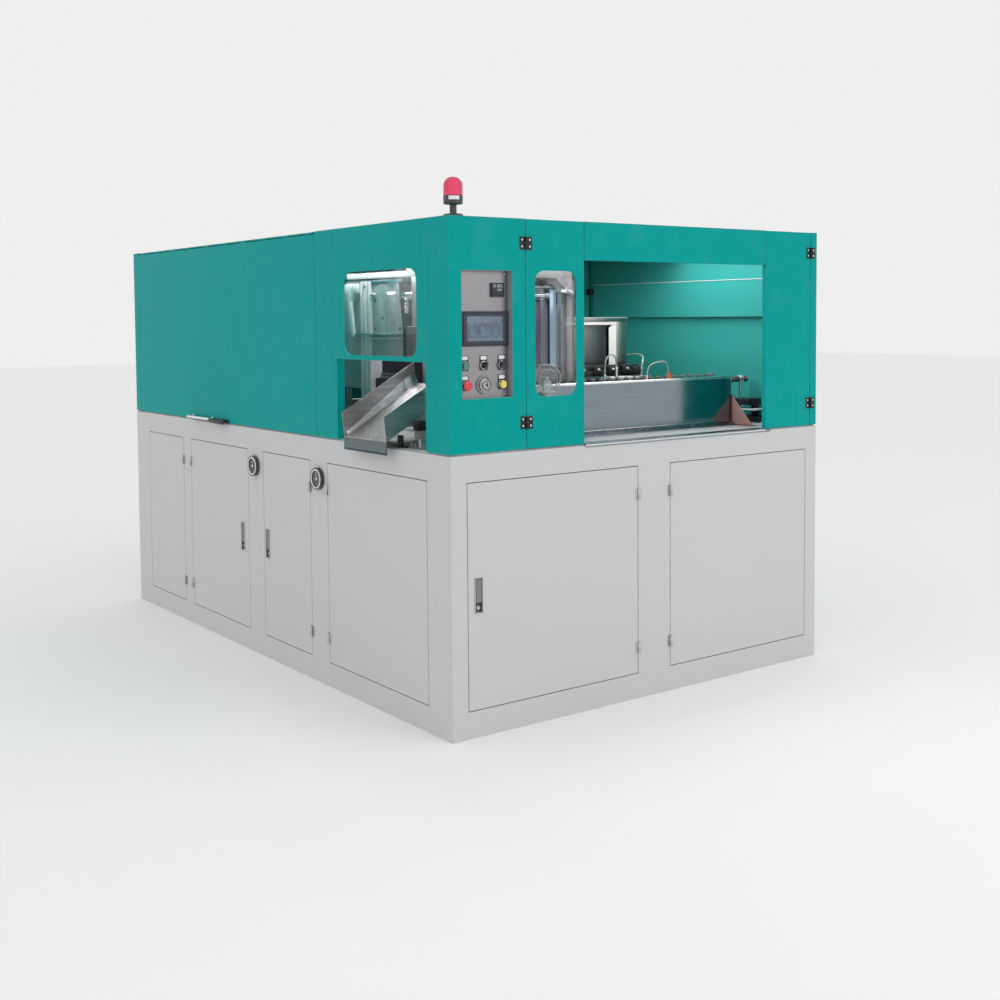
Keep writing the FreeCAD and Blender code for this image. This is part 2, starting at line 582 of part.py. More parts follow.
# ---- discharge chute: a sloping folded trough with a skirt under its lip ----
chute = doc.addObject("PartDesign::Body", "chute_body")
floor = sketch_on(chute, "XZ_Plane")
chute_end = "chute_lean + chute_run"
polygon(floor, "floor", [("chute_lean", "0"), ("chute_lean + chute_thick", "0"),
                         ("chute_lean + chute_thick", "chute_skirt - chute_thick"),
                         (chute_end, "chute_skirt + chute_rise - chute_thick"),
                         (chute_end, "chute_skirt + chute_rise"), ("chute_lean", "chute_skirt")])
pad(chute, floor, "chute_wide")
for out in (None, "chute_wide - chute_thick"):
    wall = sketch_on(chute, "XZ_Plane", out)
    polygon(wall, "wall", [("chute_lean", "chute_skirt - chute_thick"),
                           (chute_end, "chute_skirt + chute_rise - chute_thick"),
                           (chute_end, "chute_skirt + chute_rise + chute_end_wall"),
                           ("0", "chute_skirt + chute_wall")])
    pad(chute, wall, "chute_thick")
place(chute, ("-half_width - chute_mouth - chute_lean", "chute_from + chute_wide", "chute_lip - chute_skirt"))
# its upper end stands on a bent foot on the deck
foot_plate = block(("-half_width - chute_mouth + chute_run - chute_thick", "chute_from", "base_top + deck_thick"),
                   ("chute_thick", "chute_wide", "chute_lip + chute_rise - base_top - deck_thick - 1"))
node(join([chute, foot_plate]), "discharge_chute")

# ---- beacon ----
lamp = doc.addObject("PartDesign::Body", "lamp_body")
profile = sketch_on(lamp, "XZ_Plane")
polygon(profile, "profile", [
    ("0", "0"), ("beacon_radius", "0"), ("beacon_radius", "flange_thick"), ("neck_radius", "flange_thick"),
    ("neck_radius", "flange_thick + neck_tall"), ("beacon_radius - 8", "flange_thick + neck_tall + 4"),
    ("beacon_radius", "flange_thick + neck_tall + lamp_base_tall"),
    ("0", "flange_thick + neck_tall + lamp_base_tall")])
turned = lamp.newObject("PartDesign::Revolution", "turned")
turned.Profile = profile
turned.ReferenceAxis = (profile, ["V_Axis"])
turned.Angle = 360
place(lamp, ("beacon_across", "beacon_along", "top"))
node(lamp, "beacon_base")
dome_foot = "top + flange_thick + neck_tall + lamp_base_tall"
dome = doc.addObject("Part::Fillet", "dome")
dome.Base = rod(("beacon_across", "beacon_along", dome_foot), "z", "dome_radius", "dome_tall")
doc.recompute()
top_edge = max(range(len(dome.Base.Shape.Edges)), key=lambda i: dome.Base.Shape.Edges[i].CenterOfMass.z)
dome.Edges = [(top_edge + 1, SIZES["dome_round"], SIZES["dome_round"])]
node(cut(dome, [rod(("beacon_across", "beacon_along", f"{dome_foot} - 1"), "z", "dome_radius - 3",
                    "dome_tall - dome_round")]), "beacon_dome")

# ---- guard sheet with a rolled edge, its gusset, and the feed rail behind it ----
guard_long = "guard_to - guard_from"
node(join([block(("guard_from", "guard_along", "base_top + deck_thick"),
                 (guard_long, "skin", "guard_top - base_top - deck_thick - guard_roll")),
           rod(("guard_from", "guard_along + guard_roll - 1", "guard_top - guard_roll"), "x", "guard_roll",
               guard_long)]), "guard_sheet")
gusset = doc.addObject("PartDesign::Body", "gusset_body")
triangle = sketch_on(gusset, "YZ_Plane")
polygon(triangle, "plate", [("0", "0"), ("gusset_deep", "0"), ("gusset_deep", "gusset_tall")])
pad(gusset, triangle, "5")
place(gusset, ("guard_to", "guard_along - gusset_deep", "base_top + deck_thick"))
node(gusset, "guard_gusset")
node(group([block(("guard_from", "guard_along + 25", "1270"), (guard_long, "14", "26")),
            block(("guard_from", "guard_along + 75", "1270"), (guard_long, "14", "26"))]
           + [block((x, "guard_along + 25", "base_top + deck_thick"), ("14", "64", "1270 - base_top - deck_thick"))
              for x in ("guard_from + 20", "0", "guard_to - 40")]), "feed_rails")

# ---- clamp: two fixed platens on four tie bars, a sliding platen and the mould halves ----
tie_spots = [(x, z) for x in ("platen_from + tie_inset", "platen_from + platen_wide - tie_inset")
             for z in ("tie_low", "tie_high")]
ties = [rod((x, "front_platen", z), "y", "tie_radius", "rear_platen + platen_thick - front_platen")
        for x, z in tie_spots]


def platen(along, foot, play):
    holes = [rod((x, f"{along} - 1", z), "y", f"tie_radius + {play}", "platen_thick + 2") for x, z in tie_spots]
    plate = block(("platen_from", along, foot), ("platen_wide", "platen_thick", f"platen_top - ({foot})"))
    return cut(plate, holes)


node(group(ties), "tie_bars")
node(group([platen(along, "base_top + deck_thick", "0") for along in ("front_platen", "rear_platen")]),
     "fixed_platens")
node(platen("moving_platen", "tie_low - tie_inset", "tie_play"), "moving_platen")
mould_from = "platen_from + (platen_wide - mould_wide) / 2"
for name, start, parting in (("mould_half_fixed", "front_platen + platen_thick",
                              "front_platen + platen_thick + mould_deep"),
                             ("mould_half_moving", "moving_platen - mould_deep", "moving_platen - mould_deep")):
    cavities = [rod((f"platen_from + platen_wide / 2 {side} cavity_pitch / 2", parting, "mould_foot + 25"),
                    "z", "cavity_radius", "mould_tall") for side in "+-"]
    node(cut(block((mould_from, start, "mould_foot"), ("mould_wide", "mould_deep", "mould_tall")), cavities), name)

# ---- stretch unit: a bridge with two guide rods, and a carriage with two stretch rods ----
middle = "platen_from + platen_wide / 2"
parting_line = "front_platen + platen_thick + mould_deep"
guide_spots = [f"{middle} - guide_spread", f"{middle} + guide_spread"]
rod_spots = [f"{middle} - cavity_pitch / 2", f"{middle} + cavity_pitch / 2"]
bridge = cut(block((f"{middle} - 230", "front_platen + platen_thick", "bridge_foot"),
                   ("460", "bridge_deep", "bridge_thick")),
             [rod((x, parting_line, "bridge_foot - 1"), "z", "stretch_radius + 6", "bridge_thick + 2")
              for x in rod_spots])
guides = [rod((x, parting_line, "bridge_foot + bridge_thick - 1"), "z", "guide_radius",
              "guide_top - bridge_foot - bridge_thick + 1") for x in guide_spots]
node(join([bridge] + guides), "stretch_bridge")
carriage = cut(block((f"{middle} - carriage_half", f"{parting_line} - 40", "carriage_foot"),
                     ("2 * carriage_half", "80", "carriage_thick")),
               [rod((x, parting_line, "carriage_foot - 1"), "z", "guide_radius + tie_play", "carriage_thick + 2")
                for x in guide_spots])
node(join([carriage] + [rod((x, parting_line, "carriage_foot + 1 - stretch_long"), "z", "stretch_radius",
                            "stretch_long") for x in rod_spots]), "stretch_carriage")

# ---- oven: a long hood with end plates, slotted below for the preforms, on four legs ----
hood = cut(block(("oven_from", "oven_start", "oven_foot"), ("oven_wide", "oven_long", "oven_tall")),
           [block(("oven_from + oven_wall", "oven_start - 1", "oven_foot + oven_wall"),
                  ("oven_wide - 2 * oven_wall", "oven_end_in + 1", "oven_tall - 2 * oven_wall")),
            block(("oven_from + oven_wall", "oven_start + oven_end_in + oven_wall", "oven_foot + oven_wall"),
                  ("oven_wide - 2 * oven_wall", "oven_long - oven_end_in - 2 * oven_wall",
                   "oven_tall - 2 * oven_wall")),
            block(("oven_from + (oven_wide - oven_slot) / 2", "oven_start + oven_end_in + oven_wall",
                   "oven_foot - 1"),
                  ("oven_slot", "oven_long - oven_end_in - 2 * oven_wall", "oven_wall + 2"))])
legs = [block((x, y, "base_top + deck_thick"), ("oven_leg", "oven_leg", "oven_foot - base_top - deck_thick"))
        for x in ("oven_from", "oven_from + oven_wide - oven_leg")
        for y in ("oven_start + 60", "oven_start + oven_long - 100")]
node(group([hood] + legs), "oven_housing")

# ---- service ports on the rear: air, cooling water in and out, power cable ----
ports = []
for number in range(4):
    x = f"half_width - 250 - {number} * port_pitch"
    boss = rod((x, "half_length", "port_height"), "y", "port_radius", "port_deep")
    ports.append(cut(boss, [rod((x, "half_length - 1", "port_height"), "y", "port_bore", "port_deep + 2")]))
node(group(ports), "service_ports")

# ---- check and write ----
doc.recompute()
for obj in doc.Objects:
    if "Invalid" in obj.State or "Error" in obj.State:
        raise RuntimeError(obj.Name + " failed: " + str(obj.State))
os.makedirs("parts", exist_ok=True)
for obj in nodes:
    if obj.Shape.isNull() or not obj.Shape.isValid():
        raise RuntimeError(obj.Label + " has no valid shape")
    obj.Shape.exportStep(f"parts/{obj.Label}.step")
print(len(nodes), "sub-parts written")
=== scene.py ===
import bmesh
import bpy
import math
from mathutils import Matrix, Vector


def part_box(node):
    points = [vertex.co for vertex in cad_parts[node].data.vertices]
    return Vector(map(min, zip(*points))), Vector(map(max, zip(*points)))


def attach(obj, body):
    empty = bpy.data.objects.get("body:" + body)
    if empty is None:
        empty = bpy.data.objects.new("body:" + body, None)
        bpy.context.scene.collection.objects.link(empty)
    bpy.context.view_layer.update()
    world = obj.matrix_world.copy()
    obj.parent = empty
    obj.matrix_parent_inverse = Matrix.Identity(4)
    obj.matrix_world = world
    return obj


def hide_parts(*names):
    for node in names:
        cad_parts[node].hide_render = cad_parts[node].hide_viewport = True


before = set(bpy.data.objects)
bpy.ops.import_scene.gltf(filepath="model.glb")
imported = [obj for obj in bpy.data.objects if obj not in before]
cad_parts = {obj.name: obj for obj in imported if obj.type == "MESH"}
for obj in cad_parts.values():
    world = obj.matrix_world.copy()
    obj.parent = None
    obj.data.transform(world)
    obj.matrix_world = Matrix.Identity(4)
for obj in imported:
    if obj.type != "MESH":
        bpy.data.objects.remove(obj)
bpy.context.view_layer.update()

# ---------------------------------------------------------------- studio
# A pale floor under the machine, a white room of soft light, a broad lamp in front of the control
# side, so that the front reads brighter than the long side, and a work light under the roof.
floor_mesh = bpy.data.meshes.new("studio_floor")
floor_mesh.from_pydata([(-40, -40, 0), (40, -40, 0), (40, 40, 0), (-40, 40, 0)], [], [(0, 1, 2, 3)])
studio_floor = bpy.data.objects.new("studio_floor", floor_mesh)
bpy.context.collection.objects.link(studio_floor)
pale = bpy.data.materials.new("pale_floor")
pale.use_nodes = True
pale_shader = pale.node_tree.nodes["Principled BSDF"]
pale_shader.inputs["Base Color"].default_value = (0.93, 0.93, 0.93, 1)
pale_shader.inputs["Roughness"].default_value = 0.85
floor_mesh.materials.append(pale)

room = bpy.data.worlds.new("white_room")
room.use_nodes = True
room.node_tree.nodes["Background"].inputs["Color"].default_value = (1, 1, 1, 1)
room.node_tree.nodes["Background"].inputs["Strength"].default_value = 0.86
bpy.context.scene.world = room


def soft_lamp(name, place, aim, size, watts):
    lamp = bpy.data.lights.new(name, "AREA")
    lamp.shape = "RECTANGLE"
    lamp.size, lamp.size_y = size
    lamp.energy = watts
    holder = bpy.data.objects.new(name, lamp)
    holder.location = place
    holder.rotation_euler = (Vector(aim) - Vector(place)).to_track_quat("-Z", "Y").to_euler()
    bpy.context.collection.objects.link(holder)


soft_lamp("front_lamp", (2.5, -7.5, 4.5), (0, -1.6, 1.1), (5, 4), 85)
soft_lamp("chute_side_lamp", (-7.5, -1.5, 5.0), (-1, 0, 1.0), (5, 4), 12)
soft_lamp("cabin_lamp", (0.2, -1.05, 1.935), (0.2, -1.05, 1.0), (1.6, 0.7), 15)
soft_lamp("clamp_lamp", (-0.7, -0.7, 1.935), (-0.7, -0.7, 1.0), (0.4, 0.8), 15)

camera_data = bpy.data.cameras.new("camera")
camera_data.lens = 45.61
camera_data.sensor_width = 36
camera_data.shift_x = 0.0271
camera_data.shift_y = -0.1119
camera = bpy.data.objects.new("camera", camera_data)
turn, tilt, lean = math.radians(35.724), math.radians(-3.18), math.radians(-0.487)
ahead = Vector((math.cos(tilt) * math.sin(turn), math.cos(tilt) * math.cos(turn), math.sin(tilt)))
right = Vector((math.cos(turn), -math.sin(turn), 0))
upward = right.cross(ahead)
level_right = right * math.cos(lean) + upward * math.sin(lean)
level_up = upward * math.cos(lean) - right * math.sin(lean)
camera.matrix_world = Matrix((level_right, level_up, -ahead)).transposed().to_4x4()
camera.location = (-3.7432, -5.4861, 1.6176)
bpy.context.collection.objects.link(camera)
bpy.context.scene.camera = camera
bpy.context.scene.view_settings.view_transform = "Standard"

# ---------------------------------------------------------------- base cabinet
# The lower half: a tube frame clad in folded sheet, with six hinged doors and a deck on top. All of
# it is powder coated light grey; the film has a fine orange peel and rubs bright along its edges.


def add_node(tree, kind, values=None, **settings):
    made = tree.nodes.new(kind if "Node" in kind else "ShaderNode" + kind)
    for name, value in settings.items():
        setattr(made, name, value)
    for name, value in (values or {}).items():
        if isinstance(value, bpy.types.NodeSocket):
            tree.links.new(value, made.inputs[name])
        else:
            made.inputs[name].default_value = value
    return made


def new_group(name, inputs, outputs, kind="ShaderNodeTree"):
    tree = bpy.data.node_groups.new(name, kind)
    for label, socket_type, value in inputs:
        socket = tree.interface.new_socket(label, in_out="INPUT", socket_type=socket_type)
        if value is not None:
            socket.default_value = value
    for label, socket_type in outputs:
        tree.interface.new_socket(label, in_out="OUTPUT", socket_type=socket_type)
    return tree, tree.nodes.new("NodeGroupInput").outputs, tree.nodes.new("NodeGroupOutput").inputs


def link(tree, outlets, **values):
    for label, value in values.items():
        tree.links.new(value, outlets[label])


def maths(tree, operation, first, second=0.5, third=0.5):
    return add_node(tree, "Math", {0: first, 1: second, 2: third}, operation=operation).outputs[0]


def brighten(tree, colour, value):
    return add_node(tree, "HueSaturation", {"Color": colour, "Value": value}).outputs["Color"]


def spread(tree, value, low, high, new_low, new_high):
    made = add_node(tree, "MapRange", {"Value": value, "From Min": low, "From Max": high,
                                       "To Min": new_low, "To Max": new_high})
    return made.outputs["Result"]


def blend_colour(tree, factor, first, second, way="MIX"):
    made = add_node(tree, "Mix", {0: factor, 6: first, 7: second}, data_type="RGBA", blend_type=way)
    return made.outputs[2]


def noise(tree, place, scale, detail=2.0, rough=0.5):
    made = add_node(tree, "TexNoise",
                    {"Vector": place, "Scale": scale, "Detail": detail, "Roughness": rough})
    return made.outputs["Fac"]


FLOAT, COLOUR, VECTOR = "NodeSocketFloat", "NodeSocketColor", "NodeSocketVector"

edge_wear, wear_in, wear_out = new_group("edge_wear", [("Radius", FLOAT, 0.002)],
                                         [("Mask", FLOAT), ("Normal", VECTOR)])
rounded = add_node(edge_wear, "Bevel", {"Radius": wear_in["Radius"]}, samples=4).outputs["Normal"]
flat_normal = add_node(edge_wear, "NewGeometry").outputs["Normal"]
agree = add_node(
    edge_wear, "VectorMath", {0: rounded, 1: flat_normal}, operation="DOT_PRODUCT").outputs["Value"]
where = add_node(edge_wear, "TexCoord").outputs["Object"]
patchy = spread(edge_wear, noise(edge_wear, where, 38, 4, 0.7), 0.4, 0.62, 0, 1)
edge_only = spread(edge_wear, agree, 0.99, 0.86, 0, 1)
link(edge_wear, wear_out, Mask=maths(edge_wear, "MULTIPLY", edge_only, patchy), Normal=rounded)

paint_film, film_in, film_out = new_group(
    "paint_film",
    [("Colour", COLOUR, (1, 1, 1, 1)), ("Rough", FLOAT, 0.35), ("Drift", FLOAT, 0.05), ("Dust", FLOAT, 0.1),
     ("Wear", FLOAT, 0.3), ("Edge", FLOAT, 0.002)],
    [("Colour", COLOUR), ("Rough", FLOAT), ("Height", FLOAT), ("Normal", VECTOR)])
film_place = add_node(paint_film, "TexCoord").outputs["Object"]
slow = noise(paint_film, film_place, 0.9, 3)
drift = maths(paint_film, "MULTIPLY_ADD", spread(paint_film, slow, 0.3, 0.7, -1, 1), film_in["Drift"], 1.0)
tinted = brighten(paint_film, film_in["Colour"], drift)
handled = noise(paint_film, film_place, 7.5, 5, 0.62)
dust_mask = maths(paint_film, "MULTIPLY", spread(paint_film, handled, 0.5, 0.75, 0, 1), film_in["Dust"])
dusty = blend_colour(paint_film, dust_mask, tinted, (0.62, 0.62, 0.6, 1))
film_edge = add_node(paint_film, "Group", node_tree=edge_wear)
link(paint_film, film_edge.inputs, Radius=film_in["Edge"])
worn = maths(paint_film, "MULTIPLY", film_edge.outputs["Mask"], film_in["Wear"])
uneven = spread(paint_film, handled, 0.3, 0.7, -1, 1)
link(paint_film, film_out, Colour=blend_colour(paint_film, worn, dusty, (0.78, 0.8, 0.8, 1)),
     Rough=maths(paint_film, "MULTIPLY_ADD", uneven, 0.05, film_in["Rough"]),
     Height=noise(paint_film, film_place, 320, 2), Normal=film_edge.outputs["Normal"])


def surface(name, group, values, plain, bump, distance):
    """A material: one effect group feeds the shader's colour, roughness and bump."""
    material = bpy.data.materials.new(name)
    material.use_nodes = True
    tree = material.node_tree
    shader = tree.nodes["Principled BSDF"]
    made = add_node(tree, "Group", node_tree=group)
    for label, value in values.items():
        made.inputs[label].default_value = value
    tree.links.new(made.outputs["Colour"], shader.inputs["Base Color"])
    tree.links.new(made.outputs["Rough"], shader.inputs["Roughness"])
    bumped = add_node(
        tree, "Bump",
        {"Strength": bump, "Distance": distance, "Height": made.outputs["Height"],
         "Normal": made.outputs["Normal"]})
    tree.links.new(bumped.outputs["Normal"], shader.inputs["Normal"])
    for label, value in plain.items():
        shader.inputs[label].default_value = value
    return material


def painted(name, colour, rough=0.34, drift=0.03, dust=0.02, wear=0.25, edge=0.002, gloss=0.3):
    return surface(name, paint_film, {"Colour": (*colour, 1), "Rough": rough, "Drift": drift, "Dust": dust,
                                      "Wear": wear, "Edge": edge},
                   {"IOR": 1.48, "Specular IOR Level": gloss}, 0.12, 0.0004)


def finish_nodes(material, *names):
    for name in names:
        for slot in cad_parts[name].material_slots:
            slot.material = material


grey_paint = painted("grey_powder_coat", (0.575, 0.58, 0.59), rough=0.42, drift=0.015, dust=0.02, wear=0.15)
# the deck plate is a darker grey: partly its own enamel, partly painted shade on its edge in the gap under
# the cabin
deck_paint_edge_shade = painted("deck_enamel_edge_shade", (0.42, 0.43, 0.43), rough=0.45, dust=0.15)
LOWER_DOORS = ("left_door_rear", "left_door_wide", "left_door_narrow", "left_door_front",
               "front_door_left", "front_door_right")
finish_nodes(grey_paint, "lower_front_panel", "lower_left_panel", "lower_plain_panels", *LOWER_DOORS)
finish_nodes(deck_paint_edge_shade, "deck_plate")

# ---------------------------------------------------------------- cabin
# The upper half: panels, posts and doors of thin sheet over a light tube frame, powder coated teal inside and
# out. The frame and the right panel take a paler, glossier copy of the teal, which is painted light for the
# brighter inside of the cabin.
teal_paint = painted("teal_powder_coat", (0.001, 0.32, 0.3), gloss=0.05)
# a paler, glossier copy of the teal paint: painted light on the cabin's frame and right panel
teal_painted_light = painted("teal_painted_light_coat", (0.036, 0.318, 0.288), drift=0.02, dust=0.02, gloss=0.2)
finish_nodes(teal_painted_light, "frame_posts", "frame_rails", "upper_right_panel")
finish_nodes(teal_paint, "control_column", "front_window_door", "right_front_door",
             "front_header", "front_right_corner", "left_window_panel", "left_side_posts", "side_lift_door",
             "lift_door_hinge", "roof_panel", "upper_rear_panel")

# ---------------------------------------------------------------- windows
# Clear acrylic sheet, clipped behind the rounded openings of the control-side door and the long
# side. It is faintly wiped and keeps a soft sheen.
moulding, mould_in, mould_out = new_group(
    "moulded_skin", [("Colour", COLOUR, (1, 1, 1, 1)), ("Rough", FLOAT, 0.35), ("Grain", FLOAT, 900.0)],
    [("Colour", COLOUR), ("Rough", FLOAT), ("Height", FLOAT), ("Normal", VECTOR)])
mould_place = add_node(moulding, "TexCoord").outputs["Object"]
cloudy = noise(moulding, mould_place, 26, 4)
shade = spread(moulding, cloudy, 0.3, 0.7, 0.93, 1.06)
gloss = maths(moulding, "MULTIPLY_ADD", spread(moulding, cloudy, 0.3, 0.7, -1, 1), 0.05, mould_in["Rough"])
texture = add_node(moulding, "TexNoise", {"Vector": mould_place, "Scale": mould_in["Grain"], "Detail": 2.0})
mould_edge = add_node(moulding, "Group", {"Radius": 0.0008}, node_tree=edge_wear)
link(moulding, mould_out, Colour=brighten(moulding, mould_in["Colour"], shade), Rough=gloss,
     Height=texture.outputs["Fac"], Normal=mould_edge.outputs["Normal"])


def moulded(name, colour, rough=0.35, grain=900.0, bump=0.1, **plain):
    settings = {label.replace("_", " "): value for label, value in plain.items()}
    return surface(name, moulding, {"Colour": (*colour, 1), "Rough": rough, "Grain": grain},
                   settings, bump, 0.0002)


clear_acrylic = moulded("clear_acrylic", (0.94, 0.98, 0.98), 0.07, 60.0, Transmission_Weight=1.0, IOR=1.1,
                        Alpha=0.2)
finish_nodes(clear_acrylic, "front_window_pane", "left_window_pane")

# ---------------------------------------------------------------- black leaf hinges
# Flat steel leaf hinges, enamelled black, hold the two upper front doors. Each leaf takes two bright
# countersunk screws, and the knuckles close round a pin.
UP, TO_FRONT, TO_LEFT = (0, 0, 1), (0, -1, 0), (-1, 0, 0)


def add_box(shape, low, high, bevel=0.001, steps=2, turn=None):
    """A box between two corners with softened edges, turned about its own middle if asked."""
    part = bmesh.ops.create_cube(shape, size=1)["verts"]
    size = [top - bottom for bottom, top in zip(low, high)]
    middle = Vector([(bottom + top) / 2 for bottom, top in zip(low, high)])
    stretch = Matrix.Diagonal((*size, 1))
    bmesh.ops.transform(shape, matrix=Matrix.Translation(middle) @ (turn or Matrix()) @ stretch, verts=part)
    if bevel:
        edges = list(dict.fromkeys(edge for vert in part for edge in vert.link_edges))
        bmesh.ops.bevel(shape, geom=edges, offset=min(bevel, min(size) * 0.45), segments=steps,
                        profile=0.5, affect="EDGES")


def frame_edges(near, far, foot, head, width):
    """The left, right, lower and upper edge of an upright rectangle, each as near, far, foot, head."""
    return ((near, near + width, foot, head), (far - width, far, foot, head),
            (near, far, foot, foot + width), (near, far, head - width, head))


def add_turned(shape, start, way, profile, sides=28):
    """A turned part: pairs of distance and radius along a line from `start`."""
    spin = Vector(way).to_track_quat("Z", "Y").to_matrix().to_4x4()
    spin.translation = start
    rings = []
    for along, radius in profile:
        count = sides if radius > 1e-6 else 1
        angles = [2 * math.pi * i / sides for i in range(count)]
        rings.append([shape.verts.new(spin @ Vector((radius * math.cos(a), radius * math.sin(a), along)))
                      for a in angles])
    for first, second in zip(rings, rings[1:]):
        for i in range(sides):
            j = (i + 1) % sides
            corners = [first[i % len(first)], first[j % len(first)],
                       second[j % len(second)], second[i % len(second)]]
            corners = list(dict.fromkeys(corners))
            if len(corners) > 2:
                shape.faces.new(corners)


def add_ring(shape, start, way, inner, outer, deep, soft=0.0008, sides=36):
    """A turned ring with softened rims."""
    profile = [(0, inner), (0, outer - soft), (soft, outer), (deep - soft, outer), (deep, outer - soft),
               (deep, inner + soft), (deep - soft, inner), (0, inner)]
    add_turned(shape, start, way, profile, sides)


def add_prism(shape, outline, thickness, bevel=0.0008):
    """A flat plate: its outline's points in space, thickened along `thickness`."""
    lower = [shape.verts.new(point) for point in outline]
    upper = [shape.verts.new(Vector(point) + Vector(thickness)) for point in outline]
    count = len(outline)
    faces = [shape.faces.new(lower), shape.faces.new(list(reversed(upper)))]
    faces += [shape.faces.new((lower[(i + 1) % count], lower[i], upper[i], upper[(i + 1) % count]))
              for i in range(count)]
    if bevel:
        edges = list(dict.fromkeys(edge for face in faces for edge in face.edges))
        bmesh.ops.bevel(shape, geom=edges, offset=bevel, segments=1, profile=0.5, affect="EDGES")


def smooth_line(points, steps=8):
    """Points along a smooth curve through the given points."""
    spots = [Vector(point) for point in points]
    if len(spots) < 3:
        return spots
    ends = [2 * spots[0] - spots[1]] + spots + [2 * spots[-1] - spots[-2]]
    line = []
    for a, b, c, d in zip(ends, ends[1:], ends[2:], ends[3:]):
        for i in range(steps):
            t = i / steps
            line.append(0.5 * (2 * b + (c - a) * t + (2 * a - 5 * b + 4 * c - d) * t ** 2
                               + (3 * b - a - 3 * c + d) * t ** 3))
    return line + [spots[-1]]


def add_pipe(shape, points, radius, sides=10, steps=8):
    """A bent bar or pipe along a smooth curve through its points, closed at both ends."""
    line = smooth_line(points, steps)
    ways = [(after - before).normalized() for before,
            after in zip([line[0]] + line[:-1], line[1:] + [line[-1]])]
    side = ways[0].orthogonal().normalized()
    rings = []
    for place, way in zip(line, ways):
        side = (side - way * side.dot(way)).normalized()
        other = way.cross(side)
        rings.append([shape.verts.new(place + radius * (side * math.cos(2 * math.pi * i / sides)
                                                        + other * math.sin(2 * math.pi * i / sides)))
                      for i in range(sides)])
    for first, second in zip(rings, rings[1:]):
        for i in range(sides):
            j = (i + 1) % sides
            shape.faces.new((first[i], first[j], second[j], second[i]))
    shape.faces.new(list(reversed(rings[0])))
    shape.faces.new(rings[-1])


def settle(name, shape, material, body="machine", replaces=(), crease=32):
    """Turn a shape, or a mesh grown by a tree, into a named piece that rides on a body."""
    if isinstance(shape, bpy.types.Mesh):
        mesh = shape
    else:
        bmesh.ops.recalc_face_normals(shape, faces=shape.faces)
        mesh = bpy.data.meshes.new(name)
        shape.to_mesh(mesh)
        shape.free()
        mesh.materials.append(material)
    mesh.name = name
    mesh.shade_smooth()
    mesh.set_sharp_from_angle(angle=math.radians(crease))
    piece = bpy.data.objects.new(name, mesh)
    bpy.context.collection.objects.link(piece)
    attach(piece, body)
    if replaces:
        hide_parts(*replaces)
    return piece


def shape_of(*parts):
    """One shape from several parts, each given as a helper and what it takes after the shape."""
    shape = bmesh.new()
    for add_part, *values in parts:
        add_part(shape, *values)
    return shape


def piece(name, material, slot, *parts, body="machine", replaces=(), crease=32):
    """A named piece made of parts, each given as a helper and what it takes after the shape."""
    return settle(name, shape_of(*parts), material, body, replaces, crease)


def grow(tree, mesh, values):
    """Run a Geometry Nodes tree on a mesh and give back the plain mesh that it makes."""
    holder = bpy.data.objects.new("grower", mesh)
    bpy.context.collection.objects.link(holder)
    modifier = holder.modifiers.new("grow", "NODES")
    modifier.node_group = tree
    sockets = {item.name: item.identifier for item in tree.interface.items_tree if item.in_out == "INPUT"}
    for label, value in values.items():
        modifier[sockets[label]] = value
    bpy.context.view_layer.update()
    made = bpy.data.meshes.new_from_object(holder.evaluated_get(bpy.context.evaluated_depsgraph_get()))
    bpy.data.objects.remove(holder)
    return made


def seed_mesh(shape):
    """A finished shape as a plain mesh, to be repeated by a tree."""
    bmesh.ops.recalc_face_normals(shape, faces=shape.faces)
    mesh = bpy.data.meshes.new("seed")
    shape.to_mesh(mesh)
    shape.free()
    return mesh


GEOMETRY, COUNT, MATERIAL = "NodeSocketGeometry", "NodeSocketInt", "NodeSocketMaterial"


def stamp(tree, points, instance, inputs, outputs, **turned):
    """The shared end of every tree: instances on points, made real and given their finish."""
    placed = add_node(
        tree, "GeometryNodeInstanceOnPoints", {"Points": points, "Instance": instance, **turned})
    real = add_node(tree, "GeometryNodeRealizeInstances", {"Geometry": placed.outputs[0]})
    dressed = add_node(tree, "GeometryNodeSetMaterial", {"Geometry": real.outputs[0],
                                                         "Material": inputs["Finish"]})
    link(tree, outputs, Geometry=dressed.outputs[0])


# the same head on every spot, turned by chance about its own axis
on_spots, spots_in, spots_out = new_group(
    "heads_on_spots", [("Geometry", GEOMETRY, None), ("Head", "NodeSocketObject", None),
                       ("Seed", COUNT, 3), ("Finish", MATERIAL, None)],
    [("Geometry", GEOMETRY)], "GeometryNodeTree")
facing = add_node(on_spots, "GeometryNodeInputNamedAttribute", {"Name": "facing"}, data_type="FLOAT_VECTOR")
aimed = add_node(
    on_spots, "FunctionNodeAlignRotationToVector", {"Vector": facing.outputs["Attribute"]}, axis="Z")
chance = add_node(
    on_spots, "FunctionNodeRandomValue", {3: math.pi, "Seed": spots_in["Seed"]}, data_type="FLOAT")
about = add_node(on_spots, "FunctionNodeAxisAngleToRotation", {"Axis": UP, "Angle": chance.outputs[1]})
twisted = add_node(on_spots, "FunctionNodeRotateRotation",
                   {"Rotation": aimed.outputs[0], "Rotate By": about.outputs[0]}, rotation_space="LOCAL")
head_shape = add_node(on_spots, "GeometryNodeObjectInfo", {"Object": spots_in["Head"]})
stamp(on_spots, spots_in["Geometry"], head_shape.outputs["Geometry"], spots_in, spots_out,
      Rotation=twisted.outputs[0])


def heads(name, spots, head, material, body="machine"):
    """Pieces such as screws: one head at each (place, facing) pair."""
    mesh = bpy.data.meshes.new("spots")
    mesh.from_pydata([place for place, _ in spots], [], [])
    ways = mesh.attributes.new("facing", "FLOAT_VECTOR", "POINT")
    for item, (_, way) in zip(ways.data, spots):
        item.vector = way
    sample = bpy.data.objects.new("head", head)
    bpy.context.collection.objects.link(sample)
    made = grow(on_spots, mesh, {"Head": sample, "Finish": material})
    bpy.data.objects.remove(sample)
    return settle(name, made, material, body)


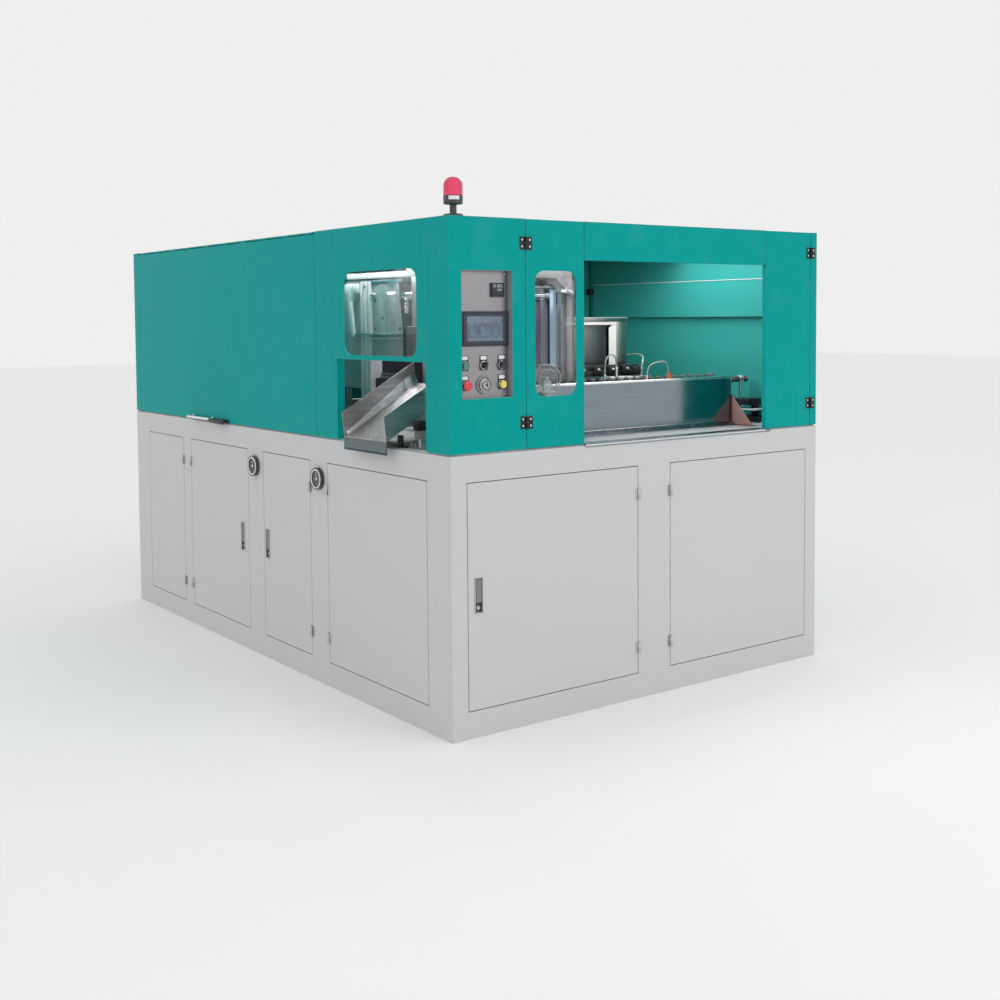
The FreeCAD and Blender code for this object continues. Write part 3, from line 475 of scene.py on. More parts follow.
def screw_head(radius, tall):
    """A low round head with a hexagon socket."""
    shape = bmesh.new()
    add_turned(shape, (0, 0, 0), UP, [
        (0, 0), (0, radius), (tall * 0.6, radius), (tall, radius * 0.72), (tall, radius * 0.42),
        (tall * 0.35, radius * 0.4), (tall * 0.35, 0)], sides=12)
    return seed_mesh(shape)


metal_grain, grain_in, grain_out = new_group(
    "metal_grain",
    [("Colour", COLOUR, (1, 1, 1, 1)), ("Rough", FLOAT, 0.3), ("Stretch", VECTOR, (400, 400, 6)),
     ("Contrast", FLOAT, 0.1), ("Stain", FLOAT, 0.15), ("Edge", FLOAT, 0.001)],
    [("Colour", COLOUR), ("Rough", FLOAT), ("Height", FLOAT), ("Normal", VECTOR)])
grain_place = add_node(metal_grain, "TexCoord").outputs["Object"]
combed = add_node(metal_grain, "VectorMath", {0: grain_place, 1: grain_in["Stretch"]}, operation="MULTIPLY")
lines = noise(metal_grain, combed.outputs["Vector"], 1.0, 4, 0.6)
clouds = noise(metal_grain, grain_place, 5.0, 5, 0.6)
centred = spread(metal_grain, lines, 0.25, 0.75, -1, 1)
tone = maths(metal_grain, "MULTIPLY_ADD", centred, grain_in["Contrast"], 1.0)
brushed = brighten(metal_grain, grain_in["Colour"], tone)
stain_mask = maths(metal_grain, "MULTIPLY", spread(metal_grain, clouds, 0.48, 0.7, 0, 1), grain_in["Stain"])
cloud_rough = maths(metal_grain, "MULTIPLY_ADD", spread(metal_grain, clouds, 0.3, 0.7, -1, 1), 0.05,
                    grain_in["Rough"])
grain_edge = add_node(metal_grain, "Group", node_tree=edge_wear)
link(metal_grain, grain_edge.inputs, Radius=grain_in["Edge"])
link(metal_grain, grain_out, Colour=blend_colour(metal_grain, stain_mask, brushed, (0.3, 0.29, 0.28, 1)),
     Rough=maths(metal_grain, "MULTIPLY_ADD", centred, 0.05, cloud_rough), Height=lines,
     Normal=grain_edge.outputs["Normal"])


def metal(name, colour, rough, stretch=(350, 350, 5), contrast=0.08, stain=0.12, bump=0.15):
    return surface(name, metal_grain, {"Colour": (*colour, 1), "Rough": rough, "Stretch": stretch,
                                       "Contrast": contrast, "Stain": stain}, {"Metallic": 1.0}, bump, 0.0003)


black_paint = painted("black_enamel", (0.016, 0.016, 0.018), rough=0.42, dust=0.06, wear=0.5, edge=0.001)
bright_steel = metal("bright_steel", (0.75, 0.75, 0.76), 0.14, (30, 30, 30), 0.03, 0.05, 0.05)
zinc = metal("zinc_plate", (0.52, 0.53, 0.54), 0.38, (60, 60, 60), 0.06, 0.25)
finish_nodes(black_paint, "leaf_hinge_halves")
finish_nodes(zinc, "barrel_hinge_halves")

LEAF_WIDE, LEAF_TALL, LEAF_THICK, KNUCKLE_OUT = 0.029, 0.05, 0.003, 0.0065
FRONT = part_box("control_column")[0][1]
hinge_low, hinge_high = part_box("leaf_hinge_halves")
screw_spots = {"front_window_door": [], "right_front_door": [], "machine": []}
for door, side in (("front_window_door", 1), ("right_front_door", -1)):
    door_low, door_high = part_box(door)
    seam = door_low[0] + KNUCKLE_OUT - 0.0005 if side > 0 else door_high[0] - KNUCKLE_OUT + 0.0005
    cover = bmesh.new()
    for foot in (hinge_low[2], hinge_high[2] - LEAF_TALL):
        inner, outer = sorted((seam + side * 0.0068, seam + side * (LEAF_WIDE + 0.0006)))
        add_box(cover, (inner, FRONT - LEAF_THICK - 0.0008, foot - 0.0004),
                (outer, FRONT - LEAF_THICK + 0.0004, foot + LEAF_TALL + 0.0004), 0.0005)
        half = LEAF_TALL / 2 - 0.0012
        add_ring(cover, (seam, FRONT - KNUCKLE_OUT, foot + LEAF_TALL / 2 + 0.0006), UP,
                 0.0061, 0.0065, half, 0.0001, 24)
        for body, way in ((door, side), ("machine", -side)):
            out = FRONT - LEAF_THICK - (0.0009 if body == door else 0.0)
            screw_spots[body] += [((seam + way * 0.0185, out, foot + up), TO_FRONT) for up in (0.012, 0.038)]
    settle(door + "_leaf_covers", cover, black_paint, door)
hinge_screw = screw_head(0.0042, 0.0016)
for body, spots in screw_spots.items():
    heads(body + "_hinge_screws", spots, hinge_screw, bright_steel, body)

# ---------------------------------------------------------------- lower door locks
# Three of the lower doors carry a flush paddle lock: a zinc frame round a dark tray, the paddle and
# a key barrel below it. The lock is pushed through a slot in the door and clipped.
satin_black = moulded("satin_black", (0.014, 0.014, 0.016), 0.4)
tray_grey = moulded("lock_tray_moulding", (0.16, 0.16, 0.165), 0.45)
LOCK_WIDE, LOCK_TALL, RIM, RIM_PROUD = 0.032, 0.132, 0.0032, 0.0024


def on_face(front, across, out, up):
    """A point by its place along the front or the long left side and its distance out from it."""
    return (across, FRONT - out, up) if front else (LEFT - out, across, up)


def face_box(shape, front, across, out, up, bevel=0.0006):
    """A box on the front or the left side: each argument but the first is a pair of limits."""
    first = on_face(front, across[0], out[0], up[0])
    second = on_face(front, across[1], out[1], up[1])
    add_box(shape, [min(a, b) for a, b in zip(first, second)], [max(a, b) for a, b in zip(first, second)],
        bevel)


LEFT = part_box("lower_left_panel")[0][0]
paddle_steel = metal("paddle_steel", (0.24, 0.24, 0.25), 0.4, (60, 60, 60), 0.08, 0.2)
finish_nodes(paddle_steel, *[door + "_paddle" for door in ("left_door_wide", "left_door_narrow",
                                                          "front_door_left")])
for door in ("left_door_wide", "left_door_narrow", "front_door_left"):
    front = door.startswith("front")
    low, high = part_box(door + "_paddle")
    middle = (low[0] + high[0]) / 2 if front else (low[1] + high[1]) / 2
    head = high[2] + 0.003
    foot = head - LOCK_TALL
    near, far = middle - LOCK_WIDE / 2, middle + LOCK_WIDE / 2
    piece(door + "_lock_rim", zinc, "hinge_steel",
        *((face_box, front, (left, right), (0.0014, RIM_PROUD + 0.0012), (lower, upper))
         for (left, right, lower, upper) in frame_edges(near - RIM, far + RIM, foot - RIM, head + RIM, RIM)),
        body=door)
    piece(door + "_lock_tray", tray_grey, "black_metal",
        (face_box, front, (near + 0.0004, far - 0.0004), (-0.0168, -0.0155), (foot + 0.0004, head - 0.0004),
         0),
        *((face_box, front, (edge_near, edge_far), (-0.0168, 0.0012), (foot + 0.0004, head - 0.0004), 0)
         for (edge_near, edge_far) in ((near + 0.0002, near + 0.0011), (far - 0.0011, far - 0.0002))),
        body=door)
    barrel = bmesh.new()
    outward = TO_FRONT if front else TO_LEFT
    add_turned(barrel, on_face(front, middle, -0.0155, foot + 0.018), outward,
        [(0, 0), (0, 0.0085), (0.012, 0.0085), (0.013, 0.0078), (0.013, 0.003), (0.011, 0.0026),
         (0.011, 0)])
    settle(door + "_key_barrel", barrel, zinc, door)

# ---------------------------------------------------------------- lift door handle
# A chromed bar on two feet lifts the long side door, and a black over-centre latch beside it hooks
# over the edge of the base. Both are screwed to the door's lower edge.
chrome = metal("chrome_plate", (0.8, 0.8, 0.82), 0.07, (12, 12, 12), 0.02, 0.02, 0.02)
handle_low, handle_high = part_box("lift_door_handle")
BAR_LONG, BAR_RADIUS, LATCH_LONG = 0.265, 0.007, 0.175
bar_out, bar_up = handle_low[0] + BAR_RADIUS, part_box("side_lift_door")[0][2] + 0.012
bar_from, bar_to = handle_high[1] - BAR_LONG, handle_high[1]
bar = bmesh.new()
add_pipe(bar,
    [(LEFT - 0.001, bar_from + 0.014, bar_up), (LEFT - 0.016, bar_from + 0.014, bar_up),
     (bar_out + 0.003, bar_from + 0.018, bar_up), (bar_out, bar_from + 0.034, bar_up),
     (bar_out, bar_to - 0.034, bar_up), (bar_out + 0.003, bar_to - 0.018, bar_up),
     (LEFT - 0.016, bar_to - 0.014, bar_up), (LEFT - 0.001, bar_to - 0.014, bar_up)], 0.007, 14, 6)
for along in (bar_from + 0.014, bar_to - 0.014):
    add_turned(bar, (LEFT, along, bar_up), TO_LEFT, [(0, 0), (0, 0.01), (0.003, 0.01), (0.005, 0.0075),
                                                        (0.005, 0)])
settle("lift_door_bar", bar, chrome, "side_lift_door", ["lift_door_handle"])
latch = bmesh.new()
latch_from = handle_low[1]
face_box(latch, False, (latch_from, latch_from + LATCH_LONG), (0.0, 0.032),
    (bar_up - 0.011, bar_up + 0.002), 0.003)
face_box(latch, False, (latch_from + 0.004, latch_from + LATCH_LONG - 0.004), (0.0255, 0.032),
         (bar_up - 0.018, bar_up - 0.008), 0.002)
# a black strip under the bar, between its feet
face_box(latch, False, (bar_from + 0.026, bar_to - 0.026), (0.0005, 0.014),
    (bar_up - 0.0125, bar_up - 0.004), 0.002)
for along in (latch_from + 0.03, latch_from + LATCH_LONG - 0.03):
    add_turned(latch, (LEFT - 0.016, along, bar_up), UP, [(0, 0), (0, 0.008), (0.006, 0.007), (0.007, 0)],
        16)
settle("lift_door_latch", latch, satin_black, "side_lift_door")
latch_screw = screw_head(0.0045, 0.002)
heads("lift_door_latch_screws", [((LEFT - 0.0322, latch_from + LATCH_LONG * part, bar_up - 0.004), TO_LEFT)
                                 for part in (0.12, 0.5, 0.88)], latch_screw, black_paint,
      "side_lift_door")

# ---------------------------------------------------------------- control panel
# A brushed steel plate set back in the column. Screwed to it are a touch screen, a small two-line
# temperature meter, six controls on chromed collars and their black legend plates with blank labels.
plate_steel = metal("brushed_plate_steel", (0.315, 0.305, 0.32), 0.38, (300, 300, 8), 0.07, 0.1)
bezel_moulding = moulded("screen_bezel_moulding", (0.027, 0.031, 0.052), 0.42)
black_moulding = moulded("black_moulding", (0.016, 0.016, 0.018), 0.36)
white_label = moulded("blank_label", (0.82, 0.83, 0.86), 0.5)
pale_print = moulded("pale_print", (0.5, 0.52, 0.55), 0.5)
finish_nodes(plate_steel, "control_plate")
finish_nodes(bezel_moulding, "screen_and_meter")
finish_nodes(chrome, "control_collars")

display, display_in, display_out = new_group(
    "lit_display", [("Colour", COLOUR, (0.1, 0.1, 0.1, 1)), ("Light", COLOUR, (0.2, 0.2, 0.2, 1)),
                    ("Cells", VECTOR, (40, 40, 60)), ("Rough", FLOAT, 0.15)],
    [("Colour", COLOUR), ("Rough", FLOAT), ("Height", FLOAT), ("Normal", VECTOR)])
display_place = add_node(display, "TexCoord").outputs["Object"]
celled = add_node(display, "VectorMath", {0: display_place, 1: display_in["Cells"]}, operation="MULTIPLY")
snapped = add_node(display, "VectorMath", {0: celled.outputs["Vector"]}, operation="FLOOR")
cell_value = add_node(display, "TexWhiteNoise", {"Vector": snapped.outputs["Vector"]}).outputs["Value"]
haze = spread(display, noise(display, display_place, 18, 3), 0.3, 0.7, 0, 0.6)
lit = maths(display, "MULTIPLY_ADD", spread(display, cell_value, 0.55, 1.0, 0, 0.55), 1.0, haze)
link(display, display_out, Colour=blend_colour(display, lit, display_in["Colour"], display_in["Light"]),
     Rough=maths(display, "MULTIPLY_ADD", haze, 0.12, display_in["Rough"]),
     Height=noise(display, display_place, 60), Normal=add_node(display, "NewGeometry").outputs["Normal"])
screen_glass = surface(
    "screen_display", display,
    {"Colour": (0.085, 0.115, 0.165, 1), "Light": (0.16, 0.22, 0.29, 1), "Cells": (62, 62, 84),
     "Rough": 0.16}, {"IOR": 1.5}, 0.02, 0.0001)

plate_low, plate_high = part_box("control_plate")
panel_low, panel_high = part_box("screen_and_meter")
PLATE = plate_low[1]
SCREEN_WIDE, SCREEN_TALL, SCREEN_PROUD, DISPLAY_IN = 0.22, 0.134, 0.008, 0.024
METER_WIDE, METER_TALL = 0.06, 0.054
SCREEN_FACE = PLATE - SCREEN_PROUD
screen_x, screen_z = panel_low[0], panel_low[2]
piece("screen_display", screen_glass, "screen_plastic",
    (add_box, (screen_x + DISPLAY_IN - 0.001, SCREEN_FACE + 0.0005, screen_z + 0.8 * DISPLAY_IN - 0.001),
     (screen_x + SCREEN_WIDE - DISPLAY_IN + 0.001, SCREEN_FACE + 0.0025,
      screen_z + SCREEN_TALL - 0.8 * DISPLAY_IN + 0.001), 0.0004))
screen_frame = bmesh.new()
for inset, proud in ((0.0, 0.0012), (0.006, 0.0022)):
    for near, far, foot, head in frame_edges(
            screen_x + inset, screen_x + SCREEN_WIDE - inset,
            screen_z + inset, screen_z + SCREEN_TALL - inset, 0.004):
        add_box(screen_frame, (near, SCREEN_FACE - proud, foot), (far, SCREEN_FACE + 0.001, head), 0.0009)
settle("screen_frame", screen_frame, bezel_moulding)
# a pale strip where a status line would be, and soft keys along the foot of the display
soft_keys = bmesh.new()
key_foot = screen_z + 0.8 * DISPLAY_IN + 0.004
for column in range(6):
    key_x = screen_x + DISPLAY_IN + 0.006 + column * 0.0275
    add_box(soft_keys, (key_x, SCREEN_FACE + 0.0001, key_foot), (key_x + 0.022, SCREEN_FACE + 0.0006,
                                                                         key_foot + 0.008), 0)
add_box(soft_keys, (screen_x + DISPLAY_IN + 0.004, SCREEN_FACE + 0.0001, screen_z + SCREEN_TALL - 0.03),
        (screen_x + SCREEN_WIDE - DISPLAY_IN - 0.004, SCREEN_FACE + 0.0006,
         screen_z + SCREEN_TALL - 0.025), 0)
screen_keys = moulded("screen_keys", (0.17, 0.23, 0.29), 0.2)
settle("screen_soft_keys", soft_keys, screen_keys)

SEGMENTS = {"0": "abcdef", "1": "bc", "2": "abged", "3": "abgcd", "4": "fgbc", "5": "afgcd", "6": "afgedc",
            "7": "abc", "8": "abcdefg", "9": "abcdfg"}


def add_digits(shape, text, corner, wide, tall, thick=0.0005):
    """Plain seven-segment numbers on the front of the panel, from their lower left corner."""
    stroke = wide * 0.27
    bars = {"a": (stroke, tall - stroke, wide - stroke, tall), "d": (stroke, 0, wide - stroke, stroke),
            "g": (stroke, (tall - stroke) / 2, wide - stroke, (tall + stroke) / 2),
            "f": (0, tall / 2, stroke, tall - stroke / 2), "e": (0, stroke / 2, stroke, tall / 2),
            "b": (wide - stroke, tall / 2, wide, tall - stroke / 2),
            "c": (wide - stroke, stroke / 2, wide, tall / 2)}
    for place, figure in enumerate(text):
        start = corner[0] + place * wide * 1.45
        for bar in SEGMENTS[figure]:
            left_edge, foot, right_edge, head = bars[bar]
            add_box(shape, (start + left_edge, corner[1] - thick, corner[2] + foot),
                    (start + right_edge, corner[1], corner[2] + head), 0)


meter_x, meter_z = panel_high[0] - SCREEN_WIDE + 0.142, panel_high[2] - METER_TALL
METER_FACE = PLATE - 0.007
piece("meter_bezel", black_moulding, "screen_plastic",
    *((add_box, (meter_x + near, METER_FACE - 0.0016, meter_z + foot),
      (meter_x + far, METER_FACE + 0.0005, meter_z + head), 0.0006) for (near, far, foot, head) in (
      *frame_edges(0.0, METER_WIDE, 0.0, METER_TALL, 0.003), (0.006, METER_WIDE - 0.006, 0.016, 0.019))),
    *((add_box, (meter_x + 0.009 + number * 0.0112, METER_FACE - 0.0018, meter_z + 0.006),
      (meter_x + 0.0175 + number * 0.0112, METER_FACE, meter_z + 0.0125), 0.0008) for number in range(4)))
meter_figures = bmesh.new()
add_digits(meter_figures, "0185", (meter_x + 0.01, METER_FACE - 0.0001, meter_z + 0.0355), 0.0078, 0.013)
add_digits(meter_figures, "180", (meter_x + 0.024, METER_FACE - 0.0001, meter_z + 0.0225), 0.006, 0.009)
settle("meter_figures", meter_figures, pale_print)

LEGEND_HALF, LEGEND_DOWN, LEGEND_UP, LEGEND_THICK = 0.018, 0.02, 0.038, 0.0016
legend_plates, legend_labels = bmesh.new(), bmesh.new()
CONTROLS = ("green_button", "black_button", "yellow_button", "emergency_stop", "mode_selector")
centre_of = {}
for control in CONTROLS + ("speed_selector",):
    low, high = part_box(control)
    # a control is as wide as it is round; the selectors' levers reach no further than their caps
    centre_of[control] = ((low[0] + high[0]) / 2, PLATE, (low[2] + high[2]) / 2)
for control in CONTROLS:
    x, y, z = centre_of[control]
    add_box(legend_plates, (x - LEGEND_HALF, y - LEGEND_THICK, z - LEGEND_DOWN),
            (x + LEGEND_HALF, y, z + LEGEND_UP), 0.0008)
    add_box(legend_labels, (x - 0.0135, y - LEGEND_THICK - 0.0006, z + 0.0215),
            (x + 0.0135, y - LEGEND_THICK + 0.0002, z + 0.0355), 0.0003)
settle("legend_plates", legend_plates, black_moulding)
settle("legend_labels", legend_labels, white_label)

CAP = [(0.006, 0), (0.006, 0.0076), (0.0102, 0.0076), (0.0104, 0.013), (0.0112, 0.0148), (0.0146, 0.015),
       (0.0157, 0.0138), (0.016, 0.0115), (0.0152, 0.0102), (0.015, 0)]
CAP_FINISH = {"green_button": (moulded("green_cap", (0.065, 0.245, 0.165), 0.3), "green_plastic"),
              "black_button": (black_moulding, "black_plastic"),
              "yellow_button": (moulded("yellow_cap", (0.76, 0.67, 0.11), 0.3), "yellow_plastic")}
for control, (finish, slot) in CAP_FINISH.items():
    piece(control + "_cap", finish, slot, (add_turned, centre_of[control], TO_FRONT, CAP), body=control,
        replaces=[control])
red_cap = moulded("red_cap", (0.64, 0.052, 0.062), 0.26)
piece("stop_mushroom", red_cap, "red_plastic",
    (add_turned, centre_of["emergency_stop"], TO_FRONT,
     [(0.0072, 0), (0.0072, 0.0078), (0.0128, 0.008), (0.0132, 0.015), (0.017, 0.0165), (0.0182, 0.0196),
      (0.0205, 0.0204), (0.0238, 0.02), (0.0262, 0.018), (0.0276, 0.013), (0.0281, 0.006), (0.0281, 0)],
     40), body="emergency_stop", replaces=["emergency_stop"])

# the collars' turned nuts, seen behind each cap
piece("collar_nuts", chrome, "chrome_ring",
    *((add_ring, Vector(centre_of[control]) + Vector((0, -0.0017, 0)), TO_FRONT, 0.0083, 0.0168, 0.004,
      0.001) for control in CONTROLS))
lever = bmesh.new()
hub = centre_of["mode_selector"]
add_turned(lever, hub, TO_FRONT, [(0.0007, 0), (0.0007, 0.0078), (0.0066, 0.008), (0.0068, 0.0138),
                                    (0.0118, 0.0138), (0.0126, 0.0128), (0.0126, 0)])
tilt_lever = Matrix.Rotation(math.radians(35), 4, "Y")
add_box(lever, (hub[0] - 0.0048, hub[1] - 0.0212, hub[2] - 0.0138),
    (hub[0] + 0.0048, hub[1] - 0.011, hub[2] + 0.0138), 0.0022, 3, tilt_lever)
settle("mode_lever", lever, black_moulding, "mode_selector", ["mode_selector"])

# the large speed control: a graduated ring on the plate, and a ribbed knob with a pointer
in_ring, ring_in, ring_out = new_group(
    "parts_in_a_ring",
    [("Geometry", GEOMETRY, None), ("Count", COUNT, 12), ("Axis", VECTOR, UP), ("First angle", FLOAT, 0.0),
     ("Pitch angle", FLOAT, 0.5), ("Centre", VECTOR, (0, 0, 0)), ("Finish", MATERIAL, None)],
    [("Geometry", GEOMETRY)], "GeometryNodeTree")
still = add_node(
    in_ring, "GeometryNodeMeshLine",
    {"Count": ring_in["Count"], "Start Location": ring_in["Centre"], "Offset": (0, 0, 0)})
number = add_node(in_ring, "GeometryNodeInputIndex").outputs[0]
angle = maths(in_ring, "MULTIPLY_ADD", number, ring_in["Pitch angle"], ring_in["First angle"])
swung = add_node(in_ring, "FunctionNodeAxisAngleToRotation", {"Axis": ring_in["Axis"], "Angle": angle})
stamp(in_ring, still.outputs[0], ring_in["Geometry"], ring_in, ring_out, Rotation=swung.outputs[0])


def ring(name, shape, count, axis, first, pitch, centre, material, body="machine"):
    """A ring of one small part about an axis, grown by the ring tree; angles in degrees."""
    mesh = grow(in_ring, seed_mesh(shape),
                {"Count": count, "Axis": axis, "First angle": math.radians(first),
                 "Pitch angle": math.radians(pitch), "Centre": centre, "Finish": material})
    return settle(name, mesh, material, body)


satin_alloy = metal("satin_alloy", (0.42, 0.42, 0.44), 0.24, (60, 60, 60), 0.2, 0.25)
dial_at = centre_of["speed_selector"]
DIAL_RADIUS, KNOB_RADIUS = 0.035, 0.0235
dial_chrome = metal("dial_chrome", (0.4, 0.4, 0.42), 0.16, (90, 90, 90), 0.35, 0.3, 0.1)
piece("speed_dial_ring", dial_chrome, "chrome_ring",
    (add_ring, dial_at, TO_FRONT, 0.0165, DIAL_RADIUS, 0.003, 0.0012, 48),
    (add_ring, dial_at, TO_FRONT, DIAL_RADIUS - 0.004, DIAL_RADIUS, 0.0062, 0.0012, 48))
ring("speed_dial_marks", shape_of((add_box, (-0.0005, -0.0004, 0.0262), (0.0005, 0.0004, 0.03), 0)), 28,
    (0.0, 1.0, 0.0), -135, 10, (dial_at[0], dial_at[1] - 0.0032, dial_at[2]), black_moulding)
piece("speed_knob", satin_alloy, "chrome_ring",
    (add_turned, dial_at, TO_FRONT,
     [(0.0034, 0), (0.0034, KNOB_RADIUS - 0.0015), (0.0046, KNOB_RADIUS), (0.011, KNOB_RADIUS),
      (0.0128, KNOB_RADIUS - 0.002), (0.0134, 0.0185), (0.02, 0.0172), (0.0222, 0.015), (0.0228, 0.0085),
      (0.0228, 0)], 40), body="speed_selector", replaces=["speed_selector"])
ring("speed_knob_ribs",
    shape_of(
     (add_box, (-0.0009, -0.0034, KNOB_RADIUS - 0.0008), (0.0009, 0.0034, KNOB_RADIUS + 0.001), 0.0004, 1)),
    36, (0.0, 1.0, 0.0), 0, 10, (dial_at[0], dial_at[1] - 0.008, dial_at[2]), chrome,
    "speed_selector")
piece("speed_pointer", black_moulding, "black_plastic",
    (add_box, (dial_at[0] - 0.0016, dial_at[1] - 0.0238, dial_at[2] + 0.001),
     (dial_at[0] + 0.0016, dial_at[1] - 0.0222, dial_at[2] + 0.015), 0.0005),
    (add_turned, (dial_at[0], dial_at[1] - 0.0226, dial_at[2]), TO_FRONT,
     [(0, 0), (0, 0.005), (0.0012, 0.0046), (0.0012, 0)], 20), body="speed_selector")
# the recess walls are bare stainless steel, drawn as blue-grey paint whose tone is a painted reflection
piece("panel_recess_liner", painted("recess_steel_painted_reflection", (0.27, 0.29, 0.31), rough=0.35, dust=0.05, gloss=0.5),
    "stainless",
    *((add_box, (near, FRONT + 0.0005, foot), (far, PLATE - 0.0002, head), 0)
      for (near, far, foot, head) in frame_edges(plate_low[0] + 0.003, plate_high[0] - 0.003,
                                                 plate_low[2] + 0.003, plate_high[2] - 0.003, 0.001)))
plate_screws = [((x, PLATE, z), TO_FRONT) for x in (plate_low[0] + 0.016, plate_high[0] - 0.016)
                for z in (plate_low[2] + 0.014, plate_high[2] - 0.014)]
heads("control_plate_screws", plate_screws, screw_head(0.0038, 0.0018), bright_steel)

# ---------------------------------------------------------------- beacon
# A red warning beacon stands on the roof's front corner: a dark moulded base on a short neck, and a
# ribbed translucent dome with a lamp and its reflector inside.
lamp_base = moulded("lamp_base_moulding", (0.05, 0.047, 0.05), 0.4)
dome_low, dome_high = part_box("beacon_dome")
beacon_x, beacon_y = (dome_low[0] + dome_high[0]) / 2, (dome_low[1] + dome_high[1]) / 2
DOME_RADIUS, DOME_TALL = (dome_high[0] - dome_low[0]) / 2, dome_high[2] - dome_low[2]
dome_red = moulded("dome_red", (0.92, 0.145, 0.29), 0.16, 200.0, Transmission_Weight=0.55, IOR=1.3)
dome = bmesh.new()
STEPS, ROUND, WALL = 9, 0.0345, 0.003
outer_wall, inner_wall = [(0.0, DOME_RADIUS - 0.0005)], []
for i in range(STEPS):
    # the straight wall carries fine rings that spread the light
    along = 0.004 + i * (DOME_TALL - ROUND - 0.006) / STEPS
    outer_wall.append((along, DOME_RADIUS - (0.001 if i % 2 else 0.0)))
for i in range(9):
    swing = math.radians(90) * i / 8
    outer_wall.append(
        (DOME_TALL - ROUND + ROUND * math.sin(swing), DOME_RADIUS - ROUND + ROUND * math.cos(swing)))
outer_wall.append((DOME_TALL, 0))
inner_wall = [(max(along - WALL, 0.0), max(radius - WALL, 0.0)) for along, radius in reversed(outer_wall)]
add_turned(dome, (beacon_x, beacon_y, dome_low[2]), UP, outer_wall + inner_wall + [outer_wall[0]], 48)
settle("beacon_lens", dome, dome_red, "machine", ["beacon_dome"], 60)
lamp_glow = moulded("lamp_glow", (0.95, 0.3, 0.35), 0.4, Emission_Color=(1.0, 0.16, 0.3, 1),
                    Emission_Strength=0.6)
base_low, base_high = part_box("beacon_base")
piece("beacon_lamp_base", lamp_base, "dark_plastic",
    (add_turned, (beacon_x, beacon_y, base_low[2]), UP,
     [(0, 0), (0, 0.0365), (0.002, 0.0375), (0.007, 0.037), (0.009, 0.034), (0.01, 0.015), (0.013, 0.0132),
      (0.042, 0.0132), (0.045, 0.016), (0.046, 0.034), (0.049, 0.0368), (0.074, 0.0372), (0.0775, 0.0366),
      (0.0775, 0.028), (0.0775, 0)], 48), body="machine", replaces=["beacon_base"])
piece("beacon_bulb", lamp_glow, "dome_plastic",
    (add_turned, (beacon_x, beacon_y, dome_low[2] + 0.001), UP,
     [(0, 0), (0, 0.026), (0.006, 0.027), (0.01, 0.014), (0.014, 0.011), (0.04, 0.011), (0.048, 0.008),
      (0.052, 0)]))
label = bmesh.new()
base_radius, label_foot, label_tall = DOME_RADIUS + 0.0007, dome_low[2] - 0.017, 0.014
label_centre = math.atan2(camera.location[1] - beacon_y, camera.location[0] - beacon_x) + 0.1
for i in range(12):
    first, second = (label_centre + math.radians(-32 + i * 64 / 12 + step * 64 / 12) for step in (0, 1))
    corners = [(beacon_x + reach * math.cos(a), beacon_y + reach * math.sin(a), z)
               for reach in (base_radius - 0.001, base_radius) for a in (first, second)
               for z in (label_foot, label_foot + label_tall)]
    bottom = [label.verts.new(corners[k]) for k in (0, 2, 6, 4)]
    top = [label.verts.new(corners[k]) for k in (1, 3, 7, 5)]
    label.faces.new(bottom)
    label.faces.new(reversed(top))
    for k in range(4):
        label.faces.new((bottom[k], bottom[(k + 1) % 4], top[(k + 1) % 4], top[k]))
settle("beacon_blank_patch", label, white_label)
bolt = screw_head(0.004, 0.0025)
heads("beacon_base_screws",
    [((beacon_x + 0.029 * math.cos(a), beacon_y + 0.029 * math.sin(a), base_low[2] + 0.008), UP)
     for a in [math.radians(45 + 90 * i) for i in range(4)]], bolt, bright_steel)

# ---------------------------------------------------------------- pressure gauges
# Two round gauges stand on the long side. Each has a dark steel case, a chromed ring, a grey dial
# with a scale of plain strokes, a pale pointer and a flat glass.
gauge_black = metal("gauge_case_steel", (0.11, 0.11, 0.115), 0.25, (40, 40, 40), 0.1, 0.2)
finish_nodes(gauge_black, "gauge_cases")
finish_nodes(white_label, "gauge_needle_rear", "gauge_needle_front")
dial_grey = moulded("dial_grey", (0.085, 0.088, 0.092), 0.45)
gauge_glass = moulded(
    "gauge_glass", (0.97, 0.98, 0.98), 0.04, 60.0, Transmission_Weight=1.0, IOR=1.12, Alpha=0.12)
case_low, case_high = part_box("gauge_cases")
GAUGE_DIAL, DIAL_BACK, RIM_BACK = 0.043, 0.0122, 0.0166
gauge_up = (case_low[2] + case_high[2]) / 2
case_radius = (case_high[2] - case_low[2]) / 2
for name, along in (("front", case_low[1] + case_radius), ("rear", case_high[1] - case_radius)):
    piece(f"gauge_dial_{name}", dial_grey, "chrome_ring",
        (add_turned, (LEFT - DIAL_BACK + 0.0002, along, gauge_up), TO_LEFT,
         [(0, 0), (0, GAUGE_DIAL - 0.0004), (0.0004, GAUGE_DIAL - 0.0004), (0.0004, 0)], 48))
    for size, reach, half, count, pitch in (("fine", 0.003, 0.00035, 55, 5),
                                            ("main", 0.0062, 0.0007, 11, 27)):
        ring(f"gauge_{size}_strokes_{name}",
            shape_of((add_box, (-0.0002, -half, 0.0365 - reach), (0.0002, half, 0.0365), 0)), count,
            (1.0, 0.0, 0.0), -135, pitch, (LEFT - DIAL_BACK - 0.0003, along, gauge_up), pale_print)
    piece(f"gauge_rim_{name}", chrome, "chrome_ring",
        (add_ring, (LEFT - RIM_BACK, along, gauge_up), TO_LEFT, GAUGE_DIAL - 0.006, GAUGE_DIAL + 0.0004,
         0.0024, 0.001, 56))
    piece(f"gauge_glass_{name}", gauge_glass, "chrome_ring",
        (add_turned, (LEFT - RIM_BACK, along, gauge_up), TO_LEFT,
         [(0, 0), (0, GAUGE_DIAL - 0.0004), (0.001, GAUGE_DIAL - 0.0004), (0.001, 0)], 48))

